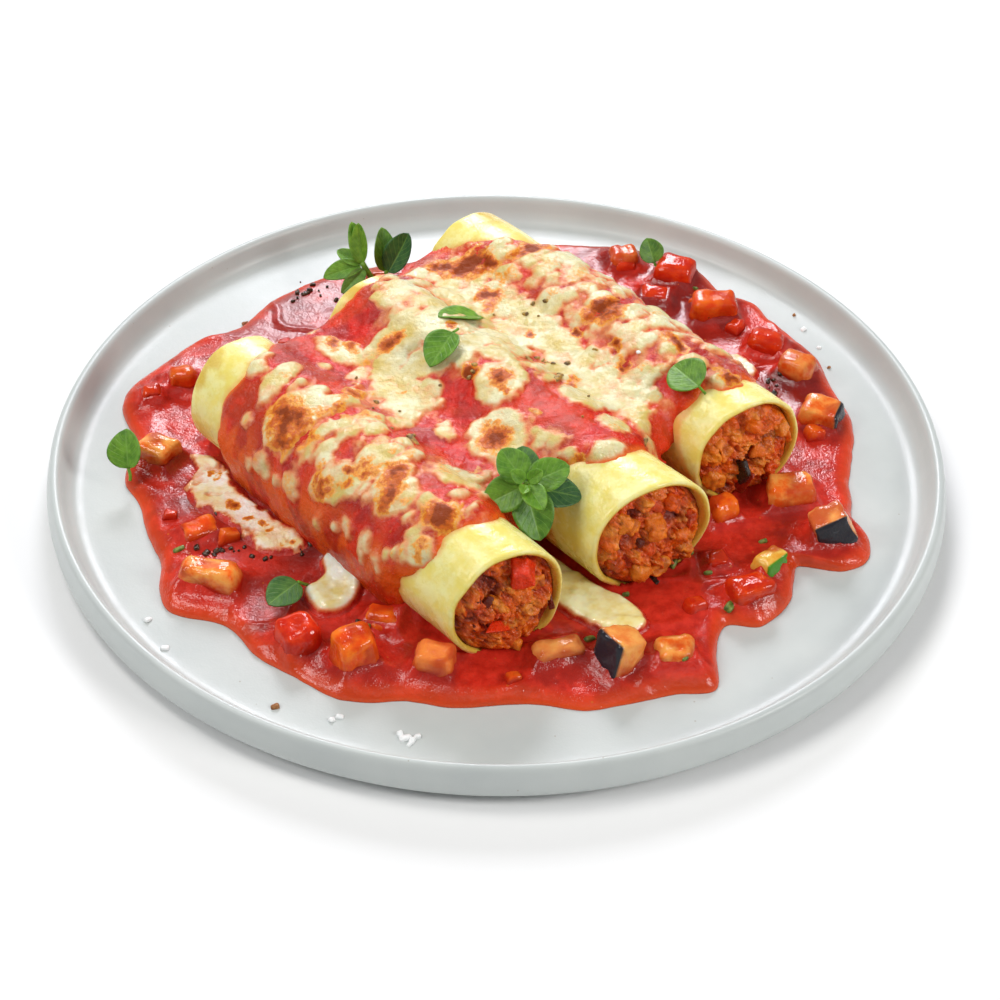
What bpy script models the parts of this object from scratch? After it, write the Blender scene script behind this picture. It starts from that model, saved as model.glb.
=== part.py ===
"""Plated cannelloni: three filled pasta rolls under tomato sauce and melted cheese, on a plate.

Units are millimetres in the tables below and metres in the scene, +Z up.  The origin is on the
table under the middle of the plate.  The rolls lie side by side along one direction, so they and
their topping are laid out in roll coordinates: u runs along the rolls towards their front ends
and v runs across them, from the front roll to the back one.
"""
import math

import bpy
import bmesh
from mathutils import Euler, Vector

MM = 0.001
GAP = 0.3                      # clearance kept between two pieces that touch

# Plate
PLATE_RADIUS = 125.0
PLATE_HEIGHT = 12.4
PLATE_FLOOR = 4.9              # level of the upper face of the floor
PLATE_UNDERSIDE = 1.6
FOOT_RADIUS = 92.0             # middle of the foot ring
FOOT_WIDTH = 4.0
PLATE_SEGMENTS = 52

# Tomato sauce pool
POOL_LEVEL = 7.9
POOL_EDGE_ROUNDING = 1.3
POOL_STEPS = 2                 # spline points for each stretch of the outline

# Pasta rolls
ROLL_HEADING = math.radians(-48.0)
PASTA_WALL = 1.7
ROLL_SEGMENTS = 28
ROLL_FLATTENING = 0.955        # the underside is flat below this share of the height
MOUTH_SKEW = math.radians(14.0)
TOPPING_CLEARANCE = 0.5
# name, v, u at the back end, u at the front end, half width, half height
ROLLS = (
    ("front", -48.5, -55.7, 58.9, 15.9, 17.0),
    ("middle", -3.4, -53.5, 64.6, 17.1, 17.2),
    ("back", 41.1, -62.0, 56.4, 16.2, 16.6),
)

# Topping, draped over the rolls
VALLEY_RADIUS = 24.0           # rounding of the topping between two rolls
SAUCE_THICKNESS = 1.2
CHEESE_THICKNESS = 1.4
SKIRT_ANGLE = math.radians(31.0)   # how far below a roll's middle the topping reaches

# Length of the topping's cross-section, then where it starts and ends along the rolls there
SAUCE_ENDS = (
    (0, -38, 28), (10, -40, 34), (25, -43, 40), (38, -48, 42), (48, -53, 44), (60, -54, 42),
    (72, -52, 42), (84, -52, 46), (95, -54, 48), (109, -58, 46), (120, -56, 43), (131, -48, 42),
    (145, -44, 43), (168, -42, 42),
)
CHEESE_ENDS = (
    (10, -20, 24), (24, -36, 36), (38, -36, 38), (48, -30, 36), (60, -44, 28), (72, -36, 32),
    (84, -48, 34), (97, -50, 32), (112, -54, 32), (125, -48, 33), (138, -40, 36), (148, -34, 30),
)

# Edge of the sauce pool, anticlockwise seen from below: x, y
POOL_EDGE = (
    (-108, 20), (-106, 30), (-97, 42), (-90, 51), (-79, 58), (-68, 74), (-56, 84), (-42, 90),
    (-26, 95), (-9, 100), (5, 104), (19, 105), (32, 104), (43, 102), (56, 97), (64, 89),
    (69, 80), (78, 75), (82, 66), (88, 58), (95, 47), (98, 34), (101, 24), (102, 12),
    (99, -3), (98, -15), (97, -24), (101, -32), (99, -41), (90, -45), (81, -42), (79, -48),
    (77, -57), (69, -66), (60, -66), (57, -76), (56, -89), (46, -91), (36, -94), (24, -97),
    (8, -95), (-10, -97), (-22, -95), (-36, -95), (-49, -88), (-60, -80), (-70, -69),
    (-84, -65), (-88, -56), (-89, -46), (-94, -35), (-98, -22), (-103, -12), (-102, 3),
    (-106, 12),
)

# Diced vegetables resting on the plate, half sunk in the sauce:
# name, material, x, y, length, width, height, turn and lean in degrees
DICE = (
    ("diced_carrot_1", "carrot", -92.0, 27.3, 7.9, 7.4, 8.2, 12, 0),
    ("diced_tomato_1", "tomato", -99.6, 20.8, 6.0, 6.0, 6.1, 10, 0),
    ("diced_aubergine_1", "aubergine", -93.8, -6.0, 10.2, 9.2, 8.6, -30, 0),
    ("diced_carrot_2", "carrot", -79.4, -37.5, 9.6, 7.6, 5.9, 30, 0),
    ("diced_aubergine_2", "aubergine", -74.4, -55.5, 15.7, 7.9, 8.4, -12, 0),
    ("diced_pepper_1", "red_pepper", -49.9, -77.6, 9.7, 9.2, 8.4, 30, 0),
    ("diced_carrot_3", "carrot", -34.9, -83.6, 10.6, 9.8, 10.5, 30, 0),
    ("diced_carrot_4", "carrot", -28.4, -70.4, 9.8, 6.4, 6.6, -18, 0),
    ("diced_carrot_5", "carrot", -14.8, -85.3, 9.8, 8.2, 8.6, -15, 0),
    ("diced_aubergine_3", "aubergine", 16.0, -80.2, 13.4, 7.4, 6.6, 20, 0),
    ("diced_aubergine_4", "aubergine", 31.7, -82.2, 10.0, 9.4, 10.2, 38, 14),
    ("diced_aubergine_5", "aubergine", 45.8, -80.9, 10.2, 8.3, 7.0, 8, 0),
    ("diced_tomato_2", "tomato", 66.0, -57.4, 11.4, 8.2, 8.0, 25, 0),
    ("diced_courgette_1", "courgette", 72.2, -48.2, 8.2, 5.4, 8.2, 45, 0),
    ("diced_tomato_3", "tomato", 58.6, -45.0, 5.5, 5.5, 5.2, 15, 0),
    ("diced_aubergine_6", "aubergine", 80.4, -18.9, 12.4, 9.4, 8.9, 8, 0),
    ("diced_aubergine_7", "aubergine", 89.4, -34.4, 10.2, 8.3, 10.2, 15, -20),
    ("diced_carrot_6", "carrot", 61.6, -26.0, 7.6, 6.8, 8.0, 25, 0),
    ("diced_aubergine_8", "aubergine", 92.4, 15.7, 10.6, 9.0, 8.0, -20, 0),
    ("diced_aubergine_9", "aubergine", 87.2, 37.4, 9.6, 8.8, 9.1, -35, 0),
    ("diced_tomato_4", "tomato", 79.6, 49.6, 10.6, 8.0, 7.5, -20, 0),
    ("diced_carrot_7", "carrot", 65.0, 66.4, 13.0, 9.2, 9.3, 5, 0),
    ("diced_tomato_5", "tomato", 54.0, 84.4, 11.4, 9.0, 8.4, -20, 0),
    ("diced_tomato_6", "tomato", 47.4, 73.5, 9.0, 7.2, 6.1, -10, 0),
    ("diced_carrot_8", "carrot", 38.4, 93.0, 9.2, 7.9, 7.0, 8, 0),
)
DICE_REST = 0.5                # height of a cube's lowest point above the plate's floor
DICE_ROUNDING = 0.9

# Cheese that lies on the sauce beside the rolls: name, thickness, outline of x, y
CHEESE_PIECES = (
    ("cheese_baked_strip", 1.6, (
        (-85, -5), (-80, -5), (-75.5, -10), (-72, -18), (-66, -25), (-58, -33), (-52, -38),
        (-50, -42), (-55, -45), (-62, -43), (-69, -37), (-75, -31), (-81, -26), (-85, -19),
        (-83, -12))),
    ("mozzarella_drop", 3.0, (
        (-43, -46), (-39, -48), (-35, -53), (-34.5, -60), (-38, -66), (-44, -68), (-48, -64),
        (-50, -59), (-47, -56), (-45, -53), (-46, -49))),
    ("cheese_drip", 2.4, (
        (13.5, -43.5), (20.5, -50.5), (27.5, -57), (34.5, -62), (38.3, -70.4), (33.3, -73.2),
        (27, -70.7), (20.7, -66.2), (14.5, -60), (8.5, -52.5), (5, -47.5), (9, -43.5))),
    ("cheese_blob", 2.2, (
        (67.3, 44.6), (71.7, 44.7), (74.6, 41.5), (75.6, 37), (74, 33), (70.4, 33.5),
        (66.8, 37.4), (65.5, 41.2))),
)

COLOURS = {                    # base colour, roughness
    "plate_glaze": ((0.80, 0.82, 0.81), 0.35),
    "tomato_sauce": ((0.55, 0.06, 0.03), 0.25),
    "pasta": ((0.88, 0.78, 0.42), 0.40),
    "meat_filling": ((0.52, 0.16, 0.05), 0.50),
    "melted_cheese": ((0.88, 0.76, 0.48), 0.35),
    "mozzarella": ((0.90, 0.86, 0.66), 0.30),
    "carrot": ((0.78, 0.25, 0.06), 0.35),
    "tomato": ((0.62, 0.07, 0.03), 0.25),
    "aubergine": ((0.66, 0.33, 0.14), 0.40),
    "courgette": ((0.35, 0.45, 0.12), 0.35),
    "red_pepper": ((0.70, 0.07, 0.03), 0.25),
}


def clear_scene():
    for thing in list(bpy.data.objects):
        bpy.data.objects.remove(thing, do_unlink=True)


def material(name):
    """The material of one food or of the plate, made once."""
    found = bpy.data.materials.get(name)
    if found:
        return found
    colour, roughness = COLOURS[name]
    made = bpy.data.materials.new(name)
    made.use_nodes = True
    shader = made.node_tree.nodes["Principled BSDF"]
    shader.inputs["Base Color"].default_value = (*colour, 1.0)
    shader.inputs["Roughness"].default_value = roughness
    shader.inputs["Metallic"].default_value = 0.0
    return made


def add_object(name, bm, material_name, smooth_angle=40.0):
    """Finish a bmesh in millimetres as an object in metres, with its faces outward."""
    bmesh.ops.recalc_face_normals(bm, faces=bm.faces)
    bmesh.ops.scale(bm, vec=Vector((MM, MM, MM)), verts=bm.verts)
    mesh = bpy.data.meshes.new(name)
    bm.to_mesh(mesh)
    bm.free()
    mesh.materials.append(material(material_name))
    mesh.shade_smooth()
    mesh.set_sharp_from_angle(angle=math.radians(smooth_angle))
    thing = bpy.data.objects.new(name, mesh)
    bpy.context.collection.objects.link(thing)
    return thing


def bridge_rings(bm, rings, closed=False):
    """Join rings of points with quads; closed also joins the last ring to the first."""
    loops = [[bm.verts.new(point) for point in ring] for ring in rings]
    count = len(loops[0])
    pairs = list(zip(loops, loops[1:])) + ([(loops[-1], loops[0])] if closed else [])
    for low, high in pairs:
        for i in range(count):
            j = (i + 1) % count
            bm.faces.new((low[i], low[j], high[j], high[i]))
    return loops


def fan(bm, loop, point, outward):
    """Close a loop with triangles to one point."""
    tip = bm.verts.new(point)
    for i, vert in enumerate(loop):
        after = loop[(i + 1) % len(loop)]
        bm.faces.new((vert, after, tip) if outward else (after, vert, tip))


# ---------------------------------------------------------------- plate

def build_plate():
    """A turned profile: foot ring, rounded lower edge, upright wall, soft lip and flat floor."""
    foot_in = FOOT_RADIUS - FOOT_WIDTH / 2
    foot_out = FOOT_RADIUS + FOOT_WIDTH / 2
    profile = [
        (foot_in - 1.4, PLATE_UNDERSIDE), (foot_in, 0.0), (foot_out, 0.0),
        (foot_out + 1.4, PLATE_UNDERSIDE + 0.2), (PLATE_RADIUS - 5.0, PLATE_UNDERSIDE + 0.5),
        (PLATE_RADIUS - 1.2, PLATE_UNDERSIDE + 1.4), (PLATE_RADIUS, PLATE_UNDERSIDE + 3.2),
        (PLATE_RADIUS - 0.9, PLATE_HEIGHT - 2.4), (PLATE_RADIUS - 1.5, PLATE_HEIGHT - 0.7),
        (PLATE_RADIUS - 2.8, PLATE_HEIGHT), (PLATE_RADIUS - 4.1, PLATE_HEIGHT - 0.9),
        (PLATE_RADIUS - 5.2, PLATE_HEIGHT - 3.8), (PLATE_RADIUS - 7.0, PLATE_FLOOR + 1.1),
        (PLATE_RADIUS - 10.5, PLATE_FLOOR),
    ]
    turns = [2 * math.pi * i / PLATE_SEGMENTS for i in range(PLATE_SEGMENTS)]
    rings = [[(r * math.cos(t), r * math.sin(t), z) for t in turns] for r, z in profile]
    bm = bmesh.new()
    loops = bridge_rings(bm, rings)
    fan(bm, loops[0], (0, 0, PLATE_UNDERSIDE), outward=False)
    fan(bm, loops[-1], (0, 0, PLATE_FLOOR), outward=True)
    add_object("plate", bm, "plate_glaze")


# ---------------------------------------------------------------- pasta rolls

def roll_point(u, v, z):
    """Roll coordinates to the object's own x, y and z."""
    c, s = math.cos(ROLL_HEADING), math.sin(ROLL_HEADING)
    return (u * c - v * s, u * s + v * c, z)


def roll_axis_height(half_height):
    return PLATE_FLOOR + GAP + ROLL_FLATTENING * half_height


def roll_section(half_width, half_height, inset):
    """Offsets (across, up) round a roll: an ellipse with a flat underside, drawn in by inset."""
    section = []
    for i in range(ROLL_SEGMENTS):
        t = 2 * math.pi * i / ROLL_SEGMENTS
        across = (half_width - inset) * math.cos(t)
        up = (half_height - inset) * math.sin(t)
        section.append((across, max(up, inset - ROLL_FLATTENING * half_height)))
    return section


def roll_ring(roll, inset, u, skew):
    """One ring round a roll; skew leans it so that the far side reaches further forward."""
    _, v, _, _, half_width, half_height = roll
    height = roll_axis_height(half_height)
    return [roll_point(u + skew * across, v + across, height + up)
            for across, up in roll_section(half_width, half_height, inset)]


def build_tube(roll):
    """An open pasta sleeve, square at the back and cut aslant at the front."""
    name, _, back, front, _, _ = roll
    slant = math.tan(MOUTH_SKEW)
    wall = PASTA_WALL
    soft = 0.4
    rings = [
        roll_ring(roll, 0, back + soft, 0), roll_ring(roll, 0, front - soft, slant),
        roll_ring(roll, soft, front, slant), roll_ring(roll, wall - soft, front, slant),
        roll_ring(roll, wall, front - soft, slant), roll_ring(roll, wall, back + soft, 0),
        roll_ring(roll, wall - soft, back, 0), roll_ring(roll, soft, back, 0),
    ]
    bm = bmesh.new()
    bridge_rings(bm, rings, closed=True)
    add_object("pasta_tube_" + name, bm, "pasta")


def filling_cap(roll, inset, end, skew, facing):
    """Rings from the rim of a filling's end to its middle, bulging more at the bottom."""
    half_height = roll[5]
    caps = []
    for share in (1.0, 0.72, 0.36):
        ring = []
        for i, (across, up) in enumerate(roll_section(roll[4], half_height, inset)):
            lump = 0.5 * math.sin(2.7 * i + 9.0 * share) if share < 1.0 else 0.0
            swell = 2.2 * (1 - share * share) - 1.6 * share * up / half_height + lump
            u = end + skew * across * share + facing * (swell - 1.2)
            height = roll_axis_height(half_height) + up * share
            ring.append(roll_point(u, roll[1] + across * share, height))
        caps.append(ring)
    return caps


def build_filling(roll):
    """The minced filling: a plug that runs right through its sleeve."""
    name, v, back, front, _, half_height = roll
    inset = PASTA_WALL + GAP
    back_cap = filling_cap(roll, inset, back + 2.4, 0, -1)
    front_cap = filling_cap(roll, inset, front, math.tan(MOUTH_SKEW), 1)
    bm = bmesh.new()
    loops = bridge_rings(bm, back_cap[::-1] + front_cap)
    middle = roll_axis_height(half_height)
    fan(bm, loops[0], roll_point(back + 1.2, v, middle), outward=False)
    fan(bm, loops[-1], roll_point(front + 1.2, v, middle), outward=True)
    add_object("filling_" + name, bm, "meat_filling")


# ---------------------------------------------------------------- topping

def fillet_centre(one, two, radius_one, radius_two, fillet):
    """Centre of the circle that rests in the dip between two circles."""
    across = Vector(two) - Vector(one)
    distance = across.length
    near = radius_one + fillet
    far = radius_two + fillet
    along = (distance ** 2 + near ** 2 - far ** 2) / (2 * distance)
    rise = math.sqrt(near ** 2 - along ** 2)
    way = across / distance
    return Vector(one) + way * along + Vector((-way.y, way.x)) * rise


def bearing(centre, point):
    step = Vector(point) - Vector(centre)
    return math.atan2(step.y, step.x)


def drape_arcs():
    """Arcs (centre, radius, start, end, side) of the cross-section laid over the three rolls."""
    centres = [Vector((r[1], roll_axis_height(r[5]))) for r in ROLLS]
    radii = [r[5] + TOPPING_CLEARANCE for r in ROLLS]
    dips = [fillet_centre(centres[i], centres[i + 1], radii[i], radii[i + 1], VALLEY_RADIUS)
            for i in (0, 1)]
    start = math.pi + SKIRT_ANGLE
    arcs = []
    for i, (centre, radius) in enumerate(zip(centres, radii)):
        end = bearing(centre, dips[i]) if i < 2 else -SKIRT_ANGLE
        arcs.append((centre, radius, start, end, 1))
        if i < 2:
            dip = dips[i]
            arcs.append((dip, VALLEY_RADIUS, bearing(dip, centre), bearing(dip, centres[i + 1]), -1))
            start = bearing(centres[i + 1], dip)
    return arcs


def drape_point(arcs, length, offset):
    """The point (v, z) at a length along the cross-section, raised off it by an offset."""
    for centre, radius, start, end, side in arcs:
        run = abs(end - start) * radius
        if length <= run or (centre, radius, start, end, side) == arcs[-1]:
            turn = start + (end - start) * min(length / run, 1.0)
            reach = radius + side * offset
            return centre + Vector((math.cos(turn), math.sin(turn))) * reach
        length -= run
    return None


def interpolate(table, x, column):
    """Straight-line reading of a table whose first column rises."""
    for low, high in zip(table, table[1:]):
        if x <= high[0]:
            share = (x - low[0]) / (high[0] - low[0])
            return low[column] + (high[column] - low[column]) * share
    return table[-1][column]


def build_sheet(name, material_name, ends, low, high, across, along):
    """A sheet of even thickness over the rolls, between two offsets from the drape."""
    arcs = drape_arcs()
    total = sum(abs(arc[3] - arc[2]) * arc[1] for arc in arcs)
    first, last = ends[0][0], min(ends[-1][0], total)
    rings = []
    for i in range(across + 1):
        length = first + (last - first) * i / across
        back, front = interpolate(ends, length, 1), interpolate(ends, length, 2)
        under, over = drape_point(arcs, length, low), drape_point(arcs, length, high)
        steps = [back + (front - back) * k / along for k in range(along + 1)]
        ring = [roll_point(u, under.x, under.y) for u in steps]
        ring += [roll_point(u, over.x, over.y) for u in reversed(steps)]
        rings.append(ring)
    bm = bmesh.new()
    loops = bridge_rings(bm, rings)
    for loop in (loops[0], loops[-1]):
        for k in range(along):
            far = 2 * along + 1 - k
            bm.faces.new((loop[k], loop[k + 1], loop[far - 1], loop[far]))
    add_object(name, bm, material_name)


# ---------------------------------------------------------------- sauce and what lies in it

def spline(points, steps):
    """Closed Catmull-Rom curve through the points."""
    count = len(points)
    curve = []
    for i in range(count):
        p0, p1, p2, p3 = (Vector(points[(i + k) % count]) for k in (-1, 0, 1, 2))
        for step in range(steps):
            t = step / steps
            curve.append(0.5 * (2 * p1 + (p2 - p0) * t + (2 * p0 - 5 * p1 + 4 * p2 - p3) * t ** 2
                                + (3 * p1 - p0 - 3 * p2 + p3) * t ** 3))
    return curve


def drawn_in(curve, distance):
    """The curve moved inward; the outline runs clockwise, so inward is to its right."""
    moved = []
    for i, point in enumerate(curve):
        way = (curve[(i + 1) % len(curve)] - curve[i - 1]).normalized()
        moved.append(point + Vector((way.y, -way.x)) * distance)
    return moved


def puddle(curve, low, high, rounding):
    """A flat-topped puddle with a rounded edge, as a closed bmesh."""
    inset = (rounding * 0.5, 0.0, rounding)
    level = (low, low + (high - low) * 0.45, high)
    rings = [[(p.x, p.y, z) for p in drawn_in(curve, d)] for d, z in zip(inset, level)]
    bm = bmesh.new()
    loops = bridge_rings(bm, rings)
    bm.faces.new(loops[0])
    bm.faces.new(loops[-1])
    bmesh.ops.triangulate(bm, faces=[f for f in bm.faces if len(f.verts) > 4])
    return bm


def dice_matrix(x, y, length, width, height, turn, lean, grow=0.0):
    """Size, turn and place of a cube, with its lowest corner at DICE_REST above the floor."""
    spin = Euler((0.0, math.radians(lean), math.radians(turn))).to_matrix()
    half = Vector((length, width, height)) / 2
    drop = sum(abs(spin[2][axis]) * half[axis] for axis in range(3))
    centre = Vector((x, y, PLATE_FLOOR + DICE_REST + drop))
    return spin, half + Vector((grow, grow, grow)), centre


def dice_block(entry, grow=0.0):
    """A block with bevelled edges; grow makes the larger copy that cuts the sauce."""
    spin, half, centre = dice_matrix(*entry[2:], grow=grow)
    bm = bmesh.new()
    bmesh.ops.create_cube(bm, size=2.0)
    for vert in bm.verts:
        vert.co = Vector(vert.co[axis] * half[axis] for axis in range(3))
    bmesh.ops.bevel(bm, geom=bm.edges[:], offset=DICE_ROUNDING, segments=1, profile=0.5,
                    affect='EDGES', clamp_overlap=True)
    for vert in bm.verts:
        vert.co = spin @ vert.co + centre
    return bm


def build_dice():
    for entry in DICE:
        add_object(entry[0], dice_block(entry), entry[1], smooth_angle=20.0)


def roll_cutter(roll):
    """A solid a little larger than a roll and its filling."""
    slant = math.tan(MOUTH_SKEW)
    ends = (roll[2] - GAP - 0.4, 0), (roll[3] + GAP, slant)
    inner = PASTA_WALL
    rings = [roll_ring(roll, -GAP, *ends[0]), roll_ring(roll, -GAP, *ends[1]),
             roll_ring(roll, inner, *ends[1]), roll_ring(roll, inner, ends[1][0] + 3.4, slant)]
    bm = bmesh.new()
    loops = bridge_rings(bm, rings)
    bm.faces.new(loops[0])
    bm.faces.new(loops[-1])
    bmesh.ops.triangulate(bm, faces=[f for f in bm.faces if len(f.verts) > 4])
    return bm


def cut(target, cutters):
    """Subtract closed bmeshes from an object, one after another, and keep the result."""
    helpers = []
    for index, bm in enumerate(cutters):
        helper = add_object("cutter_%02d" % index, bm, "tomato_sauce")
        helper.hide_render = True
        helper.display_type = 'WIRE'
        helpers.append(helper)
        boolean = target.modifiers.new(helper.name, 'BOOLEAN')
        boolean.operation = 'DIFFERENCE'
        boolean.solver = 'EXACT'
        boolean.object = helper
    graph = bpy.context.evaluated_depsgraph_get()
    result = bpy.data.meshes.new_from_object(target.evaluated_get(graph))
    target.modifiers.clear()
    target.data = result
    for helper in helpers:
        bpy.data.objects.remove(helper, do_unlink=True)


def build_pool():
    """The sauce pool, cut away round the rolls and the diced vegetables."""
    curve = spline([Vector(p) for p in POOL_EDGE], POOL_STEPS)
    bm = puddle(curve, PLATE_FLOOR + GAP, POOL_LEVEL, POOL_EDGE_ROUNDING)
    pool = add_object("sauce_pool", bm, "tomato_sauce")
    cut(pool, [roll_cutter(roll) for roll in ROLLS] + [dice_block(e, grow=GAP) for e in DICE])


def build_cheese_pieces():
    """Cheese that ran off the rolls: flat-bottomed pieces lying on the pool."""
    for name, thickness, outline in CHEESE_PIECES:
        curve = spline([Vector(p) for p in outline], 2)
        low = POOL_LEVEL + GAP
        add_object(name, puddle(curve, low, low + thickness, 0.8), "mozzarella")


clear_scene()
build_plate()
build_pool()
for each_roll in ROLLS:
    build_tube(each_roll)
    build_filling(each_roll)
build_sheet("sauce_blanket", "tomato_sauce", SAUCE_ENDS, 0.0, SAUCE_THICKNESS, 30, 7)
build_sheet("cheese_topping", "melted_cheese", CHEESE_ENDS, SAUCE_THICKNESS + GAP,
            SAUCE_THICKNESS + GAP + CHEESE_THICKNESS, 24, 7)
build_cheese_pieces()
build_dice()
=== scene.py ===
"""Looks of the plated cannelloni: three filled pasta rolls, tomato sauce, melted cheese, a plate.

Shapes are worked out in millimetres and put into meshes in metres, in the frame's own axes.
Roll coordinates: u runs along the rolls towards their front ends, v across them, from the front
roll to the back one, and s is the length over the topping's cross-section, from the front roll's
lower flank over all three rolls.
"""

import math
from collections import namedtuple

import bpy
import numpy as np
from mathutils import Matrix, Vector


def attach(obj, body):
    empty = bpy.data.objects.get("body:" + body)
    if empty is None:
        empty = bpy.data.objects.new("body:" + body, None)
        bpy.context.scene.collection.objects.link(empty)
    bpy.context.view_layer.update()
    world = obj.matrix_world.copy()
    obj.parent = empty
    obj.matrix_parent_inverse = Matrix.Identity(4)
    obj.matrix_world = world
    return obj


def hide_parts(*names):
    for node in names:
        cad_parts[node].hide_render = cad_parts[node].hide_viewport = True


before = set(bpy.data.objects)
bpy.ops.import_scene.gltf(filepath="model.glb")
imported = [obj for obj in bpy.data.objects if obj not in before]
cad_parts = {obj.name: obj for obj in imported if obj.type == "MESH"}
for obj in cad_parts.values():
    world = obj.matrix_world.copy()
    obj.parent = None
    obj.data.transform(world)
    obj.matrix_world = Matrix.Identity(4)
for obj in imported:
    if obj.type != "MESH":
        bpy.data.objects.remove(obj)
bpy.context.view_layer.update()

MM = 0.001
TAU = 2.0 * math.pi
BODY = "root"

# The plate and the pool
PLATE_UNDERSIDE = 1.6
PLATE_FLOOR = 4.9
POOL_LEVEL = 7.9
POOL_UNDER_ROLLS = 5.05
# The rolls: the turn from x to u, and how far down from its axis a flattened roll reaches
HEADING = math.radians(-48.0)
PASTA_WALL = 1.7
FLATTENING = 0.955
ROLL_GAP = 0.3          # between the plate and a roll
ROLL_FOOT = 10.6        # half width of the strip where a roll keeps the pool out
MOUTH_SLANT = math.tan(math.radians(14.0))
FILLING_GAP = 0.15      # between the pasta's inside and the filling
FRONT_RECESS = 0.6      # from a roll's ends to its filling
BACK_RECESS = 1.6
# back and front are where a roll ends along u
Roll = namedtuple("Roll", "name v back front half_width half_height")
ROLLS = (
    Roll("front", -48.5, -55.7, 58.9, 15.9, 17.0),
    Roll("middle", -3.4, -53.5, 64.6, 17.1, 17.2),
    Roll("back", 41.1, -62.0, 56.4, 16.2, 16.6),
)
# The topping's cross-section: its circles' clearance, the valleys' radius, the skirts' turn
TOPPING_CLEARANCE = 0.5
VALLEY_RADIUS = 24.0
SKIRT_ANGLE = math.radians(31.0)
# The pool's outline: x, y
POOL_EDGE = (
    (-108, 20), (-106, 30), (-97, 42), (-90, 51), (-79, 58), (-68, 74), (-56, 84), (-42, 90),
    (-26, 95), (-9, 100), (5, 104), (19, 105), (32, 104), (43, 102), (56, 97), (64, 89), (69, 80),
    (78, 75), (82, 66), (88, 58), (95, 47), (98, 34), (101, 24), (102, 12), (99, -3), (98, -15),
    (97, -24), (101, -32), (99, -41), (90, -45), (81, -42), (79, -48), (77, -57), (69, -66),
    (60, -66), (57, -76), (56, -89), (46, -91), (36, -94), (24, -97), (8, -95), (-10, -97),
    (-22, -95), (-36, -95), (-49, -88), (-60, -80), (-70, -69), (-84, -65), (-88, -56), (-89, -46),
    (-94, -35), (-98, -22), (-103, -12), (-102, 3), (-106, 12),
)


# ------------------------ numbers that look grown

def smoothstep(low, high, x):
    """0 below low, 1 above high, and an S-shaped rise between them."""
    t = np.clip((x - low) / (high - low), 0.0, 1.0)
    return t * t * (3.0 - 2.0 * t)


def lattice(cell, seed):
    """A repeatable value from 0 to 1 for each whole-numbered cell: its indices, hashed."""
    index = cell.astype(np.int64)
    n = index[..., 0] * 73856093 ^ index[..., 1] * 19349663 ^ index[..., 2] * 83492791
    n = n ^ (seed * 97531)
    n = ((n ^ (n >> 13)) * 1274126177) & 0xFFFFFFFF
    n = ((n ^ (n >> 15)) * 668265263) & 0xFFFFFFFF
    return ((n ^ (n >> 16)) & 0xFFFFFF) / float(0xFFFFFF)


def noise(points, size, seed):
    """Smooth noise from -1 to 1: the eight corner values of a cell of that size, blended."""
    scaled = np.asarray(points, float) / size
    base = np.floor(scaled)
    part = scaled - base
    part = part * part * (3.0 - 2.0 * part)
    total = 0.0
    for corner in np.ndindex(2, 2, 2):
        share = np.where(corner, part, 1.0 - part).prod(axis=-1)
        total = total + share * lattice(base + corner, seed)
    return 2.0 * total - 1.0


def rough(points, size, octaves, seed, gain=0.5):
    """Noise at a size, at half of it, and so on, each weaker than the last."""
    total = 0.0
    for step in range(octaves):
        total = total + gain ** step * noise(points, size / 2 ** step, seed + 7 * step)
    return total


def cells(points, size, seed):
    """Cell noise: the distance to the nearest of one random point per cell, in cell sizes,
    the distance to the next nearest one, and the nearest one's own value from 0 to 1."""
    scaled = np.asarray(points, float) / size
    base = np.floor(scaled)
    near = np.full(scaled.shape[:-1], 9.0)
    after = near.copy()
    tag = np.zeros_like(near)
    for step in np.ndindex(3, 3, 3):
        cell = base + (np.array(step) - 1.0)
        centre = cell + np.stack([lattice(cell, seed + k) for k in (1, 2, 3)], axis=-1)
        gap = np.sqrt(((centre - scaled) ** 2).sum(axis=-1))
        after = np.minimum(after, np.maximum(near, gap))
        tag = np.where(gap < near, lattice(cell, seed + 4), tag)
        near = np.minimum(near, gap)
    return near, after, tag


def flat(x, y, height=0.0):
    """Points for the noise functions from two coordinates."""
    x, y, height = np.broadcast_arrays(np.asarray(x, float), y, height)
    return np.stack([x, y, height], axis=-1)


def reading(table, x):
    """Straight-line reading of (x, value) pairs."""
    table = np.array(table, float)
    return np.interp(x, table[:, 0], table[:, 1])


# ------------------------ shapes

class Shape:
    """Points in millimetres, quads and triangles of point indices, and values per point."""

    def __init__(self, points, quads=(), tris=(), **fields):
        self.points = np.asarray(points, float).reshape(-1, 3)
        self.quads = np.asarray(quads, int).reshape(-1, 4)
        self.tris = np.asarray(tris, int).reshape(-1, 3)
        count = len(self.points)
        self.fields = {k: np.broadcast_to(v, (count,)).astype(float) if np.ndim(v) < 2
                       else np.asarray(v, float).ravel() for k, v in fields.items()}


def face_outward(shape):
    """Turn a closed shape's faces round if they enclose a negative volume."""
    faces = np.concatenate([shape.quads[:, :3], shape.quads[:, [0, 2, 3]], shape.tris])
    a, b, c = (shape.points[faces[:, k]] for k in range(3))
    if np.sum(a * np.cross(b, c)) < 0.0:
        shape.quads, shape.tris = shape.quads[:, ::-1], shape.tris[:, ::-1]


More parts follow.
